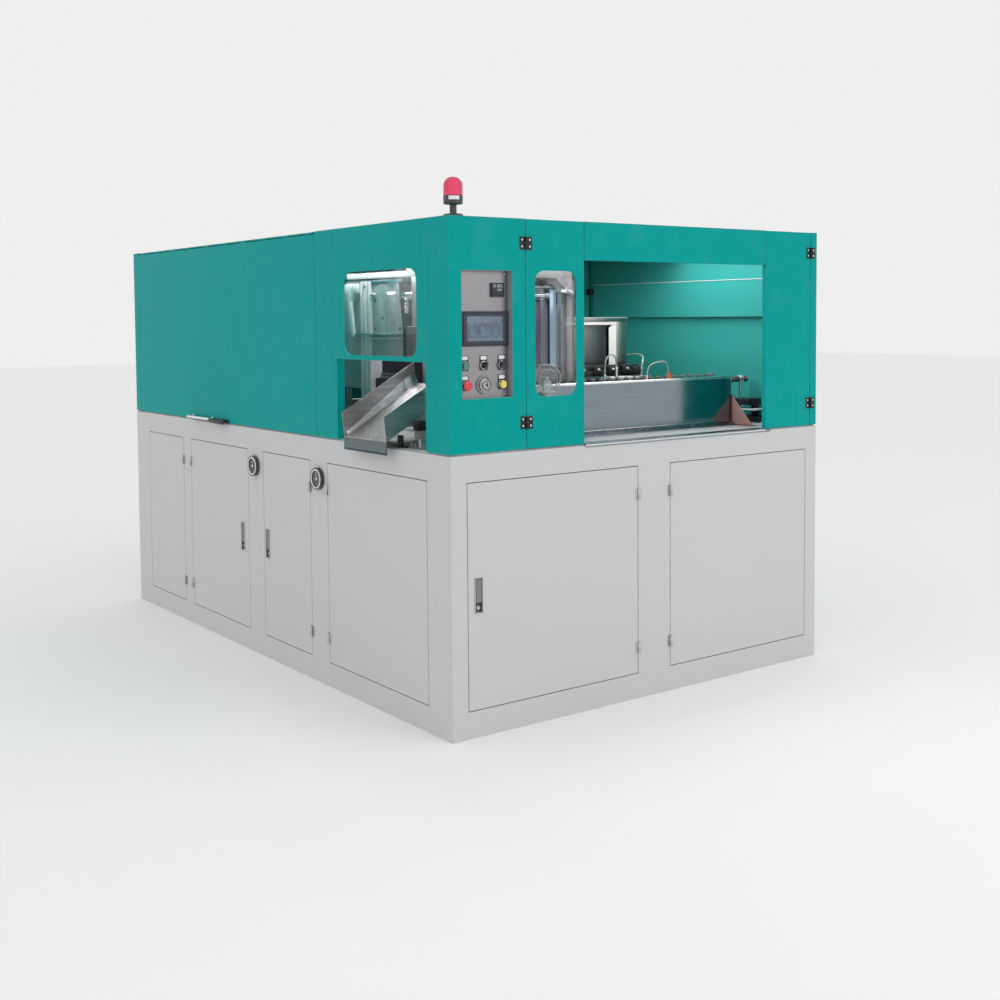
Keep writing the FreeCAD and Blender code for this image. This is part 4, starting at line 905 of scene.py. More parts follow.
# ---------------------------------------------------------------- discharge chute
# Finished bottles slide out down a folded stainless chute. A tapered fold joins its floor to its far
# wall, a rubber edge guards its skirt, and it stands on a small black foot on the deck.
chute_steel = metal("chute_steel", (0.5, 0.48, 0.49), 0.36, (4, 70, 70), 0.34, 0.85, 0.03)
finish_nodes(chute_steel, "discharge_chute")
DECK_TOP = 1.1005
chute_low, chute_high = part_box("discharge_chute")
LIP_X, LIP_Z = chute_low[0] + 0.012, 1.13
FLOOR_RISE = (chute_high[2] - 0.093 - LIP_Z) / (chute_high[0] - LIP_X)
fold = bmesh.new()
FOLD_LIP, FOLD_TOP = 0.016, 0.034
wall_face, floor_top = chute_high[1] - 0.0035, chute_high[0] - 0.004
add_prism(fold,
    [(LIP_X + 0.004, wall_face, LIP_Z + FOLD_LIP), (LIP_X + 0.004, wall_face - FOLD_LIP, LIP_Z + 0.003),
     (floor_top, wall_face - FOLD_TOP, LIP_Z + FLOOR_RISE * (floor_top - LIP_X) + 0.003),
     (floor_top, wall_face, LIP_Z + FLOOR_RISE * (floor_top - LIP_X) + 0.055)], (0, 0.0012, 0.0), 0)
settle("chute_fold", fold, chute_steel)
# a dark grey-green plate laid over the chute's skirt, darker than the chute floor
skirt_dark_grey = moulded("skirt_dark_grey_plate", (0.105, 0.14, 0.145), 0.5)
piece("chute_skirt_lining", skirt_dark_grey, "dark_plastic",
    (add_box, (LIP_X - 0.0028, chute_low[1] + 0.001, chute_low[2] + 0.004),
     (LIP_X - 0.0016, chute_high[1] - 0.001, LIP_Z - 0.004), 0))
rubber = moulded("dark_blue_rubber", (0.018, 0.034, 0.07), 0.55)
piece("chute_rubber_edge", rubber, "black_plastic",
    (add_box, (LIP_X - 0.0035, chute_low[1], chute_low[2] - 0.004),
     (LIP_X + 0.0035, chute_high[1], chute_low[2] + 0.005), 0.0015))
piece("chute_foot", black_paint, "black_metal",
    (add_box, (-1.032, chute_low[1] + 0.004, DECK_TOP), (-1.016, chute_low[1] + 0.028, 1.15), 0.0015),
    (add_box, (-1.04, chute_low[1] - 0.012, DECK_TOP), (-1.004, chute_low[1] + 0.032, 1.106), 0.001),
    (add_box, (-0.97, -1.25, 1.165), (-0.86, -1.215, 1.205), 0.002))
rail_alloy = metal("rail_alloy", (0.46, 0.47, 0.48), 0.32, (12, 200, 200), 0.07, 0.15)
piece("deck_bars", rail_alloy, "alloy",
    *((add_box, (-1.01, near, DECK_TOP), (-0.7, near + wide, DECK_TOP + tall), 0.002)
     for (near, wide, tall) in ((-1.262, 0.016, 0.03), (-1.292, 0.01, 0.018), (-1.33, 0.022, 0.04))))

# ---------------------------------------------------------------- guard sheet and sill
# A mirror-bright stainless sheet with a rolled head stands across the loading window. Its bent foot
# is screwed to the deck, and a primed steel gusset stiffens its far end.
# the guard's blue-grey base colour is a painted reflection of the room in front of it
guard_reflection_tinted_steel = metal("guard_reflection_tinted_steel", (0.25, 0.305, 0.345), 0.15, (4, 120, 120), 0.12, 0.1, 0.04)
sill_steel = metal("sill_steel", (0.24, 0.28, 0.31), 0.26, (4, 90, 90), 0.15, 0.2, 0.05)
finish_nodes(guard_reflection_tinted_steel, "guard_sheet")
finish_nodes(sill_steel, "sill_strip")
finish_nodes(bright_steel, "tie_bars")
primer = painted("red_brown_primer", (0.44, 0.245, 0.215), rough=0.55, dust=0.25, wear=0.3)
dark_primer = painted("dark_primer", (0.17, 0.05, 0.042), rough=0.6, dust=0.1, wear=0.2)
finish_nodes(primer, "guard_gusset")
guard_low, guard_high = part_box("guard_sheet")
GUARD_FACE = guard_low[1]
piece("guard_foot", sill_steel, "stainless",
    (add_box, (guard_low[0], GUARD_FACE - 0.03, guard_low[2] + 0.0005),
     (guard_high[0], GUARD_FACE - 0.0005, guard_low[2] + 0.003), 0.0006),
    (add_prism,
     [(guard_low[0], GUARD_FACE - 0.0285, guard_low[2] + 0.003),
      (guard_high[0], GUARD_FACE - 0.0285, guard_low[2] + 0.003),
      (guard_high[0], GUARD_FACE - 0.0004, guard_low[2] + 0.02),
      (guard_low[0], GUARD_FACE - 0.0004, guard_low[2] + 0.02)], (0, -0.0012, 0.0012), 0))
piece("guard_foot_bead", bright_steel, "stainless",
    (add_pipe,
     [(guard_low[0], GUARD_FACE - 0.001, guard_low[2] + 0.021),
      (guard_high[0], GUARD_FACE - 0.001, guard_low[2] + 0.021)], 0.0022, 8))
sill_edge = bmesh.new()
sill_low, sill_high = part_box("sill_strip")
add_pipe(sill_edge,
    [(sill_low[0] + 0.001, FRONT - 0.0005, sill_high[2] - 0.0065),
     (sill_high[0] - 0.036, FRONT - 0.0005, sill_high[2] - 0.0065)], 0.004, 10)
settle("sill_bright_edge", sill_edge, bright_steel)
piece("guard_rolled_head", bright_steel, "stainless",
    (add_pipe,
     [(guard_low[0] + 0.001, GUARD_FACE + 0.006, guard_high[2] - 0.0062),
      (guard_high[0] - 0.001, GUARD_FACE + 0.006, guard_high[2] - 0.0062)], 0.0068, 16))
gusset_low, gusset_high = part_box("guard_gusset")
piece("gusset_weld_strip", dark_primer, "rust_primer",
    (add_box, (gusset_low[0] - 0.003, gusset_high[1] - 0.008, gusset_low[2]),
     (gusset_high[0] + 0.002, gusset_high[1], gusset_high[2]), 0.001),
    (add_box, (gusset_low[0] - 0.01, gusset_low[1], gusset_low[2] + 0.0005),
     (gusset_high[0] + 0.018, gusset_high[1], gusset_low[2] + 0.004), 0.001))

# ---------------------------------------------------------------- feed line
# Preforms ride past the guard on a chain of spindles between two black rails. Beside it stand the
# gripper carriages on black slides, their pale trays, fittings and clear air hoses.
in_row, row_in, row_out = new_group(
    "parts_in_a_row", [("Geometry", GEOMETRY, None), ("Count", COUNT, 10), ("Start", VECTOR, (0, 0, 0)),
                       ("Step", VECTOR, (0.05, 0, 0)), ("Finish", MATERIAL, None)],
    [("Geometry", GEOMETRY)], "GeometryNodeTree")
row_line = add_node(
    in_row, "GeometryNodeMeshLine",
    {"Count": row_in["Count"], "Start Location": row_in["Start"], "Offset": row_in["Step"]})
stamp(in_row, row_line.outputs[0], row_in["Geometry"], row_in, row_out)


def row(name, shape, count, start, step, material, body="machine"):
    """A row of one small part, grown by the row tree and settled as one piece."""
    mesh = grow(in_row, seed_mesh(shape),
                {"Count": count, "Start": start, "Step": step, "Finish": material})
    return settle(name, mesh, material, body)


finish_nodes(black_paint, "feed_rails")
ground_steel = metal("ground_tool_steel", (0.42, 0.42, 0.44), 0.3, (240, 20, 240), 0.1, 0.3)
rails_low, rails_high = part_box("feed_rails")
rail_middle, PITCH = (rails_low[1] + rails_high[1]) / 2, 0.05
spindles = int((rails_high[0] - rails_low[0] - 0.02) / PITCH)
row("feed_chain_links", shape_of((add_box, (-0.022, -0.016, 0.001), (0.022, 0.016, 0.014), 0.003, 1)),
    spindles, (rails_low[0] + 0.03, rail_middle, rails_high[2]), (PITCH, 0.0, 0.0), black_moulding)
spindle_steel = moulded("spindle_grey", (0.105, 0.108, 0.11), 0.3)
row("feed_spindles",
    shape_of((add_turned, (0, 0, 0.0135), UP,
      [(0, 0), (0, 0.012), (0.01, 0.012), (0.012, 0.009), (0.02, 0.009), (0.022, 0.0135), (0.031, 0.0135),
       (0.033, 0.007), (0.038, 0.006), (0.039, 0)], 12)), spindles,
    (rails_low[0] + 0.03, rail_middle, rails_high[2]), (PITCH, 0.0, 0.0), spindle_steel)
piece("carriage_slides", black_paint, "black_metal",
    *((add_box, (-0.1, near, foot), (0.42, far, head), 0.003) for (near, far, foot, head) in (
      (-1.065, -1.012, 1.342, 1.366), (-1.05, -1.024, 1.366, 1.392), (-1.15, -1.1, 1.318, 1.34))),
    *((add_box, (along, -1.078, 1.35), (along + 0.042, -1.064, 1.384), 0.003)
     for along in (-0.06, 0.03, 0.12, 0.21, 0.3, 0.37)),
    *((add_box, (along, -1.15, DECK_TOP), (along + 0.05, -1.012, 1.342), 0.003) for along in (-0.08, 0.36)))
row("carriage_fittings",
    shape_of((add_turned, (0, 0, 0), TO_FRONT,
      [(-0.002, 0), (-0.002, 0.007), (0.006, 0.007), (0.008, 0.005), (0.014, 0.004), (0.014, 0)], 12)), 6,
    (-0.04, -1.078, 1.372), (0.09, 0.0, 0.0), zinc)
tray_paint = painted("pale_tray_enamel", (0.5, 0.5, 0.49), rough=0.35, dust=0.2, wear=0.4)
trays = bmesh.new()
for near, far in ((0.085, 0.165), (0.172, 0.262)):
    add_box(trays, (near, -1.232, 1.328), (far, -1.16, 1.344), 0.003)
    add_box(trays, (near + 0.01, -1.205, 1.3), (far - 0.01, -1.185, 1.33), 0.002)
add_box(trays, (0.06, -1.205, 1.297), (0.29, -1.15, 1.306), 0.002)
settle("carriage_trays", trays, tray_paint)
piece("carriage_tray_feet", black_paint, "black_metal",
    *((add_box, (along, -1.195, DECK_TOP), (along + 0.016, -1.16, 1.298), 0.002)
     for along in (0.072, 0.262)))

fitting_orange = moulded("orange_fitting", (0.42, 0.09, 0.03), 0.35)
piece("orange_hose_fitting", fitting_orange, "red_plastic",
    (add_box, (0.365, rail_middle - 0.04, rails_high[2]), (0.387, rail_middle - 0.022, 1.348), 0.003),
    (add_turned, (0.376, rail_middle - 0.031, 1.346), UP,
     [(0, 0), (0, 0.009), (0.006, 0.009), (0.01, 0.0065), (0.016, 0.0065), (0.018, 0.005), (0.018, 0)], 16))
HOSE_LINE, FRONT_HOSE_LINE, RAIL_TOP = -1.243, -1.299, 1.315
hose_posts = bmesh.new()
HOSE_POSTS = (((0.034, HOSE_LINE), 1.2955, 1.358), ((0.104, HOSE_LINE), 1.2955, 1.392),
              ((0.258, HOSE_LINE), 1.2955, 1.35), ((0.236, rail_middle - 0.031), 1.2955, 1.352))
for (x, y), foot, head in HOSE_POSTS:
    add_turned(hose_posts, (x, y, foot), UP,
        [(0, 0), (0, 0.009), (0.006, 0.009), (0.008, 0.0055), (head - foot - 0.012, 0.0055),
         (head - foot - 0.01, 0.008), (head - foot, 0.008), (head - foot, 0)], 16)
add_turned(hose_posts, (0.3885, -0.96, 1.43), (1, 0, 0),
    [(0, 0), (0, 0.01), (0.008, 0.01), (0.01, 0.008), (0.018, 0.008), (0.018, 0)], 16)
settle("hose_fittings", hose_posts, bright_steel)
clear_tube = moulded("clear_tube", (0.5, 0.56, 0.54), 0.14, 60.0, Transmission_Weight=0.55, IOR=1.4)
grey_tube = moulded("grey_tube", (0.36, 0.38, 0.39), 0.25)


def hose(name, points, thick, material, body="machine"):
    """A flexible tube of one smooth spline, from fitting to fitting."""
    line = bpy.data.curves.new(name, "CURVE")
    line.dimensions = "3D"
    spline = line.splines.new("NURBS")
    spline.points.add(len(points) - 1)
    for spot, place in zip(spline.points, points):
        spot.co = (*place, 1.0)
    spline.order_u = 3
    spline.use_endpoint_u = True
    spline.resolution_u = 10
    line.bevel_depth = thick / 2
    line.bevel_resolution = 3
    line.use_fill_caps = True
    line.materials.append(material)
    tube = bpy.data.objects.new(name, line)
    bpy.context.collection.objects.link(tube)
    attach(tube, body)


hose("air_hose_rear",
    [(0.034, HOSE_LINE, RAIL_TOP), (0.033, HOSE_LINE, 1.385), (0.042, HOSE_LINE, 1.432),
     (0.074, HOSE_LINE, 1.452), (0.102, HOSE_LINE, 1.434), (0.104, HOSE_LINE, 1.39),
     (0.104, HOSE_LINE, RAIL_TOP)], 0.007, clear_tube)
hose("air_hose_oven",
    [(0.4065, -0.96, 1.43), (0.426, -0.96, 1.431), (0.43, -1.0, 1.438), (0.39, -1.09, 1.44),
     (0.32, -1.19, 1.432), (0.268, -1.238, 1.412), (0.257, HOSE_LINE, 1.372), (0.258, HOSE_LINE, RAIL_TOP)],
    0.007, clear_tube)
hose("air_hose_front",
    [(0.236, FRONT_HOSE_LINE, RAIL_TOP), (0.238, FRONT_HOSE_LINE, 1.378), (0.268, FRONT_HOSE_LINE, 1.402),
     (0.325, FRONT_HOSE_LINE, 1.414), (0.374, FRONT_HOSE_LINE, 1.404), (0.376, FRONT_HOSE_LINE, 1.322)],
    0.006, clear_tube)

# ---------------------------------------------------------------- oven front
# The heating oven's open front shows its bright reflectors, a vertical drive chain and a bank of quartz lamps
# across its depth, all screwed inside the stainless housing. The polished reflectors are drawn in white
# paint, a painted reflection of the light they catch.
oven_steel = metal("oven_steel", (0.33, 0.335, 0.325), 0.3, (220, 220, 9), 0.12, 0.3)
finish_nodes(oven_steel, "oven_housing")
# white paint on the polished reflectors: a painted reflection of the light they catch
reflector_painted_white = painted("reflector_painted_reflection", (0.86, 0.85, 0.83), rough=0.25, dust=0.03, wear=0.2)
dark_steel = metal("dark_oven_steel", (0.2, 0.2, 0.205), 0.42, (40, 40, 160), 0.12, 0.3)
oven_low, oven_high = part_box("oven_housing")
OVEN_FRONT, OVEN_FOOT = oven_low[1], 1.377
piece("oven_reflectors", reflector_painted_white, "polished_steel",
    (add_box, (oven_low[0] + 0.012, OVEN_FRONT - 0.006, oven_high[2] - 0.037),
     (oven_high[0] - 0.067, OVEN_FRONT + 0.01, oven_high[2] - 0.021), 0.002),
    (add_prism,
     [(oven_high[0] - 0.112, OVEN_FRONT - 0.004, OVEN_FOOT),
      (oven_high[0] - 0.067, OVEN_FRONT - 0.004, OVEN_FOOT),
      (oven_high[0] - 0.067, OVEN_FRONT - 0.004, oven_high[2] - 0.022),
      (oven_high[0] - 0.112, OVEN_FRONT - 0.004, oven_high[2] - 0.05)], (0, 0.006, 0), 0.001))
piece("oven_inner_plate", dark_steel, "polished_steel",
    (add_box, (oven_low[0] + 0.004, OVEN_FRONT + 0.012, OVEN_FOOT),
     (oven_high[0] - 0.112, OVEN_FRONT + 0.016, oven_high[2] - 0.037), 0.001))
piece("oven_front_plate", oven_steel, "stainless",
    (add_box, (oven_high[0] - 0.067, OVEN_FRONT - 0.003, 1.374),
     (oven_high[0], OVEN_FRONT + 0.004, oven_high[2] - 0.006), 0.001),
    (add_box, (oven_low[0], OVEN_FRONT - 0.01, oven_high[2] - 0.02),
     (oven_high[0] + 0.002, OVEN_FRONT + 0.01, oven_high[2] - 0.001), 0.003))
row("oven_drive_chain", shape_of((add_box, (-0.0055, -0.004, -0.005), (0.0055, 0.004, 0.005), 0.002, 1)),
    15, (oven_high[0] - 0.14, OVEN_FRONT - 0.003, 1.388), (0.0, 0.0, 0.0128), black_paint)
lamp_quartz = moulded("lamp_quartz", (0.85, 0.55, 0.38), 0.12, Transmission_Weight=0.6)
row("oven_lamps",
    shape_of((add_turned, (-0.11, 0, 0), (1, 0, 0), [(0, 0), (0, 0.006), (0.22, 0.006), (0.22, 0)], 12)), 7,
    ((oven_low[0] + oven_high[0]) / 2 - 0.04, OVEN_FRONT + 0.04, 1.4), (0.0, 0.0, 0.026), lamp_quartz)

# ---------------------------------------------------------------- clamp and moulds
# Two heavy platens on four ground tie bars close the mould halves. Nuts hold the bars, hoses feed the moulds,
# and a painted frame stands before the first platen, with a dark band just inside its inner edge: painted
# shade on the frame's thickness.
milled_alloy = metal("milled_alloy", (0.6, 0.61, 0.63), 0.34, (180, 180, 14), 0.07, 0.12)
finish_nodes(ground_steel, "mould_half_fixed", "mould_half_moving")
finish_nodes(milled_alloy, "moving_platen", "stretch_bridge", "stretch_carriage")
platen_steel = metal("platen_steel", (0.205, 0.195, 0.215), 0.22, (60, 60, 60), 0.1, 0.25, 0.05)
finish_nodes(platen_steel, "fixed_platens")
platen_low, platen_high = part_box("fixed_platens")
PLATEN_FACE, FRAME_RIGHT = platen_low[1], platen_high[0] - 0.026
frame_grey = painted("pale_machine_enamel", (0.42, 0.405, 0.4), rough=0.4, dust=0.12, wear=0.3)
SURROUND_FACE = PLATEN_FACE - 0.016
inner_right, inner_head = FRAME_RIGHT - 0.032, platen_high[2] + 0.005
piece("platen_surround", frame_grey, "alloy",
    (add_box, (inner_right, SURROUND_FACE, 1.334), (FRAME_RIGHT, PLATEN_FACE - 0.004, inner_head), 0.0015),
    (add_box, (platen_low[0], SURROUND_FACE, inner_head),
     (FRAME_RIGHT, PLATEN_FACE - 0.004, inner_head + 0.07), 0.0015),
    (add_prism,
     [(inner_right + 0.001, PLATEN_FACE - 0.0155, inner_head - 0.053),
      (inner_right + 0.001, PLATEN_FACE - 0.0155, inner_head + 0.001),
      (inner_right - 0.059, PLATEN_FACE - 0.0155, inner_head + 0.001)], (0, 0.011, 0), 0))
# a dark band inside the frame's inner edge: painted shade standing in for the frame's own thickness
edge_shade_paint = painted("frame_edge_painted_shade", (0.16, 0.152, 0.165), rough=0.42, dust=0.12, wear=0.4)
edge_shade_band = bmesh.new()
SHADE_BAND_WIDE = 0.027
below_head = (inner_head - 0.053, inner_head - 0.066)
for dark in ([(inner_right, 1.334), (inner_right, below_head[0]),
              (inner_right - SHADE_BAND_WIDE, below_head[1]), (inner_right - SHADE_BAND_WIDE, 1.334)],
             [(inner_right, below_head[0]), (inner_right - 0.059, inner_head),
              (inner_right - 0.07, inner_head - SHADE_BAND_WIDE), (inner_right - SHADE_BAND_WIDE, below_head[1])],
             [(inner_right - 0.059, inner_head), (platen_low[0] + 0.1, inner_head),
              (platen_low[0] + 0.1, inner_head - SHADE_BAND_WIDE), (inner_right - 0.07, inner_head - SHADE_BAND_WIDE)]):
    add_prism(edge_shade_band, [(x, PLATEN_FACE - 0.012, z) for x, z in dark], (0, 0.01, 0), 0)
settle("platen_inner_guard", edge_shade_band, edge_shade_paint)
blue_steel = metal("blued_strip", (0.33, 0.46, 0.58), 0.18, (12, 12, 90), 0.1, 0.1, 0.04)
piece("platen_slide_strip", blue_steel, "polished_steel",
    (add_box, (-0.276, PLATEN_FACE - 0.022, 1.404), (-0.238, PLATEN_FACE - 0.004, 1.752), 0.003))
piece("platen_wear_plate", metal("wear_plate", (0.09, 0.082, 0.1), 0.2, (14, 14, 3), 0.75, 0.3, 0.04),
    "polished_steel",
    (add_box, (-0.48, PLATEN_FACE - 0.018, 1.402), (-0.28, PLATEN_FACE - 0.003, 1.69), 0.004))
piece("clamp_cross_rod", ground_steel, "polished_steel",
    (add_turned, (-0.5, PLATEN_FACE - 0.03, 1.708), (1, 0, 0),
     [(0, 0), (0, 0.009), (0.19, 0.009), (0.192, 0.013), (0.208, 0.013), (0.21, 0.009), (0.212, 0)], 24),
    (add_box, (-0.48, PLATEN_FACE - 0.022, 1.742), (-0.276, PLATEN_FACE - 0.004, 1.752), 0.002))
piece("clamp_cushions", black_moulding, "black_plastic",
    (add_box, (-0.262, PLATEN_FACE - 0.02, 1.69), (-0.256, PLATEN_FACE - 0.004, 1.735), 0.002),
    (add_box, (-0.216, PLATEN_FACE - 0.018, 1.672), (-0.196, PLATEN_FACE - 0.004, 1.725), 0.003),
    (add_turned, (-0.318, PLATEN_FACE - 0.014, 1.769), TO_FRONT,
     [(0, 0), (0, 0.016), (0.004, 0.018), (0.012, 0.018), (0.016, 0.014), (0.024, 0.013), (0.026, 0.009),
      (0.026, 0)], 24),
    (add_turned, (-0.35, PLATEN_FACE - 0.014, 1.765), TO_FRONT,
     [(0, 0), (0, 0.01), (0.014, 0.01), (0.016, 0)], 20))
cap_nut = bmesh.new()
add_turned(cap_nut, (0, 0, 0), TO_FRONT,
    [(0, 0), (0, 0.04), (0.014, 0.04), (0.018, 0.036), (0.018, 0.026), (0.028, 0.025), (0.03, 0.022),
     (0.03, 0)], 6)
tie_low, tie_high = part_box("tie_bars")
tie_ends = [((x, PLATEN_FACE, z), TO_FRONT) for x in (tie_low[0] + 0.025, tie_high[0] - 0.025)
            for z in (tie_low[2] + 0.025, tie_high[2] - 0.025)]
heads("tie_bar_nuts", tie_ends, seed_mesh(cap_nut), ground_steel)
piece("gripper_block", tray_paint, "alloy",
    *((add_box, low, high, soft) for (low, high, soft) in (
      ((-0.415, GUARD_FACE - 0.042, 1.21), (-0.376, GUARD_FACE - 0.012, 1.352), 0.003),
      ((-0.408, GUARD_FACE - 0.04, 1.35), (-0.384, GUARD_FACE - 0.016, 1.368), 0.003),
      ((-0.452, GUARD_FACE - 0.034, 1.3), (-0.415, GUARD_FACE - 0.0005, 1.328), 0.002),
      ((-0.424, GUARD_FACE - 0.048, 1.3), (-0.36, GUARD_FACE - 0.0005, 1.308), 0.002),
      ((-0.424, GUARD_FACE - 0.046, 1.255), (-0.366, GUARD_FACE - 0.0005, 1.262), 0.002))))
hose("clamp_hose_long",
    [(-0.443, -1.345, 1.322), (-0.446, -1.346, 1.38), (-0.426, -1.348, 1.416), (-0.376, -1.35, 1.419),
     (-0.329, -1.35, 1.402), (-0.308, -1.35, 1.364), (-0.321, -1.348, 1.32), (-0.366, -1.345, 1.306)],
    0.008, grey_tube)
hose("clamp_hose_short",
    [(-0.432, -1.345, 1.322), (-0.428, -1.354, 1.385), (-0.392, -1.362, 1.4), (-0.352, -1.366, 1.388),
     (-0.336, -1.364, 1.352), (-0.348, -1.356, 1.318), (-0.372, -1.346, 1.314)], 0.006, grey_tube)
mould_bolt = screw_head(0.007, 0.006)
moving_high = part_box("moving_platen")[1]
heads("moving_platen_bolts",
    [((x, moving_high[1], z), (0, 1, 0)) for x in (-0.56, -0.46, -0.3, -0.2) for z in (1.3, 1.5, 1.66)],
    mould_bolt, black_paint, "moving_platen")

# ---------------------------------------------------------------- stretch unit
# Over the moulds a bridge carries the carriage that drives the stretch rods down into the preforms.
# Air cylinders stand on the bridge, with black caps and brass-coloured elbows.
carriage_low, carriage_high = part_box("stretch_carriage")
brass = metal("brass_fitting", (0.62, 0.45, 0.18), 0.28, (30, 30, 30), 0.05, 0.15)
rod_mesh = seed_mesh(
    shape_of((add_turned, (0, 0, 0), UP,
      [(0, 0), (0, 0.014), (0.006, 0.014), (0.008, 0.009), (0.016, 0.009), (0.017, 0)], 16)))
heads("stretch_rod_nuts", [((x, (carriage_low[1] + carriage_high[1]) / 2, carriage_high[2]), UP)
                           for x in (-0.48, -0.379, -0.278)], rod_mesh, brass, "stretch_carriage")

# ---------------------------------------------------------------- fittings behind the side window
# Behind the side window stand the guide column of the take-out arm, its stainless screens, two light rails
# and the pale link and blocks that work it, all bolted to the machine's frame. The screens are drawn as
# grey-green paint, a painted reflection of the teal cabin in their steel.
# grey-green paint on the stainless screens: a painted reflection of the teal cabin
screen_painted_reflection = painted(
    "take_out_screen_painted_reflection", (0.245, 0.27, 0.272), rough=0.3, drift=0.2, dust=0.1, wear=0.4)
column_alloy = painted("anodised_column", (0.47, 0.46, 0.485), rough=0.3, drift=0.15, dust=0.05, wear=0.4)
COLUMN_X, COLUMN_NEAR, COLUMN_FAR, COLUMN_TOP = -0.8, -0.612, -0.524, 1.782
piece("take_out_column", column_alloy, "alloy",
    (add_box, (COLUMN_X + 0.008, COLUMN_NEAR, DECK_TOP), (COLUMN_X + 0.06, COLUMN_FAR, COLUMN_TOP), 0.002),
    *((add_box, (COLUMN_X, COLUMN_NEAR + near, DECK_TOP), (COLUMN_X + 0.012, COLUMN_NEAR + far, COLUMN_TOP),
      0.002) for (near, far) in ((0.0, 0.02), (0.028, 0.06), (0.068, 0.088))))
piece("take_out_screens", screen_painted_reflection, "stainless",
    (add_prism,
     [(COLUMN_X + 0.012, y, z) for y,
      z in ((-0.61, 1.452), (-0.858, 1.452), (-0.861, 1.563), (-0.829, 1.776), (-0.61, 1.784))],
     (0.002, 0, 0), 0),
    (add_prism,
     [(COLUMN_X + 0.03, y, z) for y, z in ((-0.3, 1.3), (-0.524, 1.3), (-0.524, 1.77), (-0.3, 1.77))],
     (0.002, 0, 0), 0))
piece("take_out_edges", rail_alloy, "alloy",
    (add_pipe, [(COLUMN_X + 0.01, -0.829, 1.776), (COLUMN_X + 0.01, -0.861, 1.563)], 0.0025, 10),
    (add_pipe, [(COLUMN_X + 0.01, -0.861, 1.563), (COLUMN_X + 0.01, -0.86, 1.453)], 0.002, 10),
    (add_box, (COLUMN_X + 0.004, -0.862, 1.774), (COLUMN_X + 0.014, -0.4, 1.786), 0.002),
    *((add_box, (COLUMN_X - 0.002, -0.855, up), (COLUMN_X + 0.012, -0.4, up + tall), 0.0015)
     for (up, tall) in ((1.545, 0.006), (1.526, 0.005))))
piece("side_screen", painted("side_screen_enamel", (0.36, 0.34, 0.345), rough=0.35, drift=0.2, dust=0.1),
    "stainless",
    (add_prism,
     [(COLUMN_X + 0.1, y, z) for y, z in ((-0.8, 1.45), (-1.16, 1.45), (-1.16, 1.86), (-0.8, 1.86))],
     (0.003, 0, 0), 0))
piece("take_out_motor_box", painted("motor_box_enamel", (0.115, 0.095, 0.105), rough=0.4, dust=0.15),
    "black_metal", (add_box, (COLUMN_X + 0.01, -0.972, 1.45), (COLUMN_X + 0.07, -0.893, 1.583), 0.003))
white_enamel = painted("white_enamel", (0.6, 0.6, 0.6), rough=0.35, dust=0.08, wear=0.2)
piece("head_beam", white_enamel, "alloy",
    (add_box, (COLUMN_X + 0.016, -1.16, 1.797), (COLUMN_X + 0.06, -0.38, 1.82), 0.002),
    (add_box, (COLUMN_X + 0.004, -1.15, 1.797), (COLUMN_X + 0.016, -0.905, 1.86), 0.003))
piece("take_out_link", white_enamel, "alloy",
    (add_prism,
     [(COLUMN_X - 0.004, y, z) for y,
      z in ((-0.412, 1.74), (-0.436, 1.74), (-0.478, 1.535), (-0.454, 1.535))], (0.012, 0, 0), 0.002),
    (add_box, (COLUMN_X - 0.006, -0.512, 1.734), (COLUMN_X + 0.02, -0.459, 1.774), 0.004),
    (add_box, (COLUMN_X - 0.004, -0.45, 1.7), (COLUMN_X + 0.018, -0.4, 1.775), 0.004),
    *((add_box, (COLUMN_X - 0.002, near - 0.036, up), (COLUMN_X + 0.012, near, up + 0.009), 0.003)
     for (near, up) in ((-0.612, 1.722), (-0.9, 1.716))))
row("take_out_spring", shape_of((add_ring, (0, 0, 0), UP, 0.0065, 0.0095, 0.003, 0.0008, 20)), 12,
    (COLUMN_X + 0.004, -0.908, 1.64), (0.0, 0.0, 0.0055), bright_steel)
column_bolts = screw_head(0.007, 0.004)
heads("column_bolts",
    [((COLUMN_X, -0.568, 1.125), TO_LEFT), ((COLUMN_X, -0.568, 1.76), TO_LEFT),
     ((COLUMN_X + 0.012, -0.64, 1.7), TO_LEFT), ((COLUMN_X + 0.012, -0.64, 1.572), TO_LEFT),
     ((COLUMN_X + 0.012, -0.7, 1.62), TO_LEFT), ((COLUMN_X + 0.012, -0.84, 1.572), TO_LEFT)], column_bolts,
    black_paint)
row("take_off_grippers",
    shape_of((add_turned, (0, 0, 0), UP,
      [(0, 0), (0, 0.009), (0.007, 0.009), (0.009, 0.005), (0.015, 0.005), (0.017, 0.008), (0.021, 0.008),
       (0.022, 0)], 12)), 7, (COLUMN_X + 0.04, -0.81, 1.352), (0.0, 0.028, 0.0), spindle_steel)
piece("take_off_rail", black_paint, "black_metal",
    (add_box, (COLUMN_X + 0.024, -0.83, 1.3), (COLUMN_X + 0.056, -0.614, 1.352), 0.002),
    (add_box, (COLUMN_X + 0.03, -0.66, DECK_TOP), (COLUMN_X + 0.05, -0.64, 1.333), 0.002))
piece("column_foot", black_paint, "black_metal",
    (add_box, (COLUMN_X - 0.02, -0.66, DECK_TOP), (COLUMN_X + 0.09, -0.48, 1.1125), 0.002),
    (add_box, (COLUMN_X - 0.01, -0.52, 1.1125), (COLUMN_X + 0.05, -0.5, 1.18), 0.002))

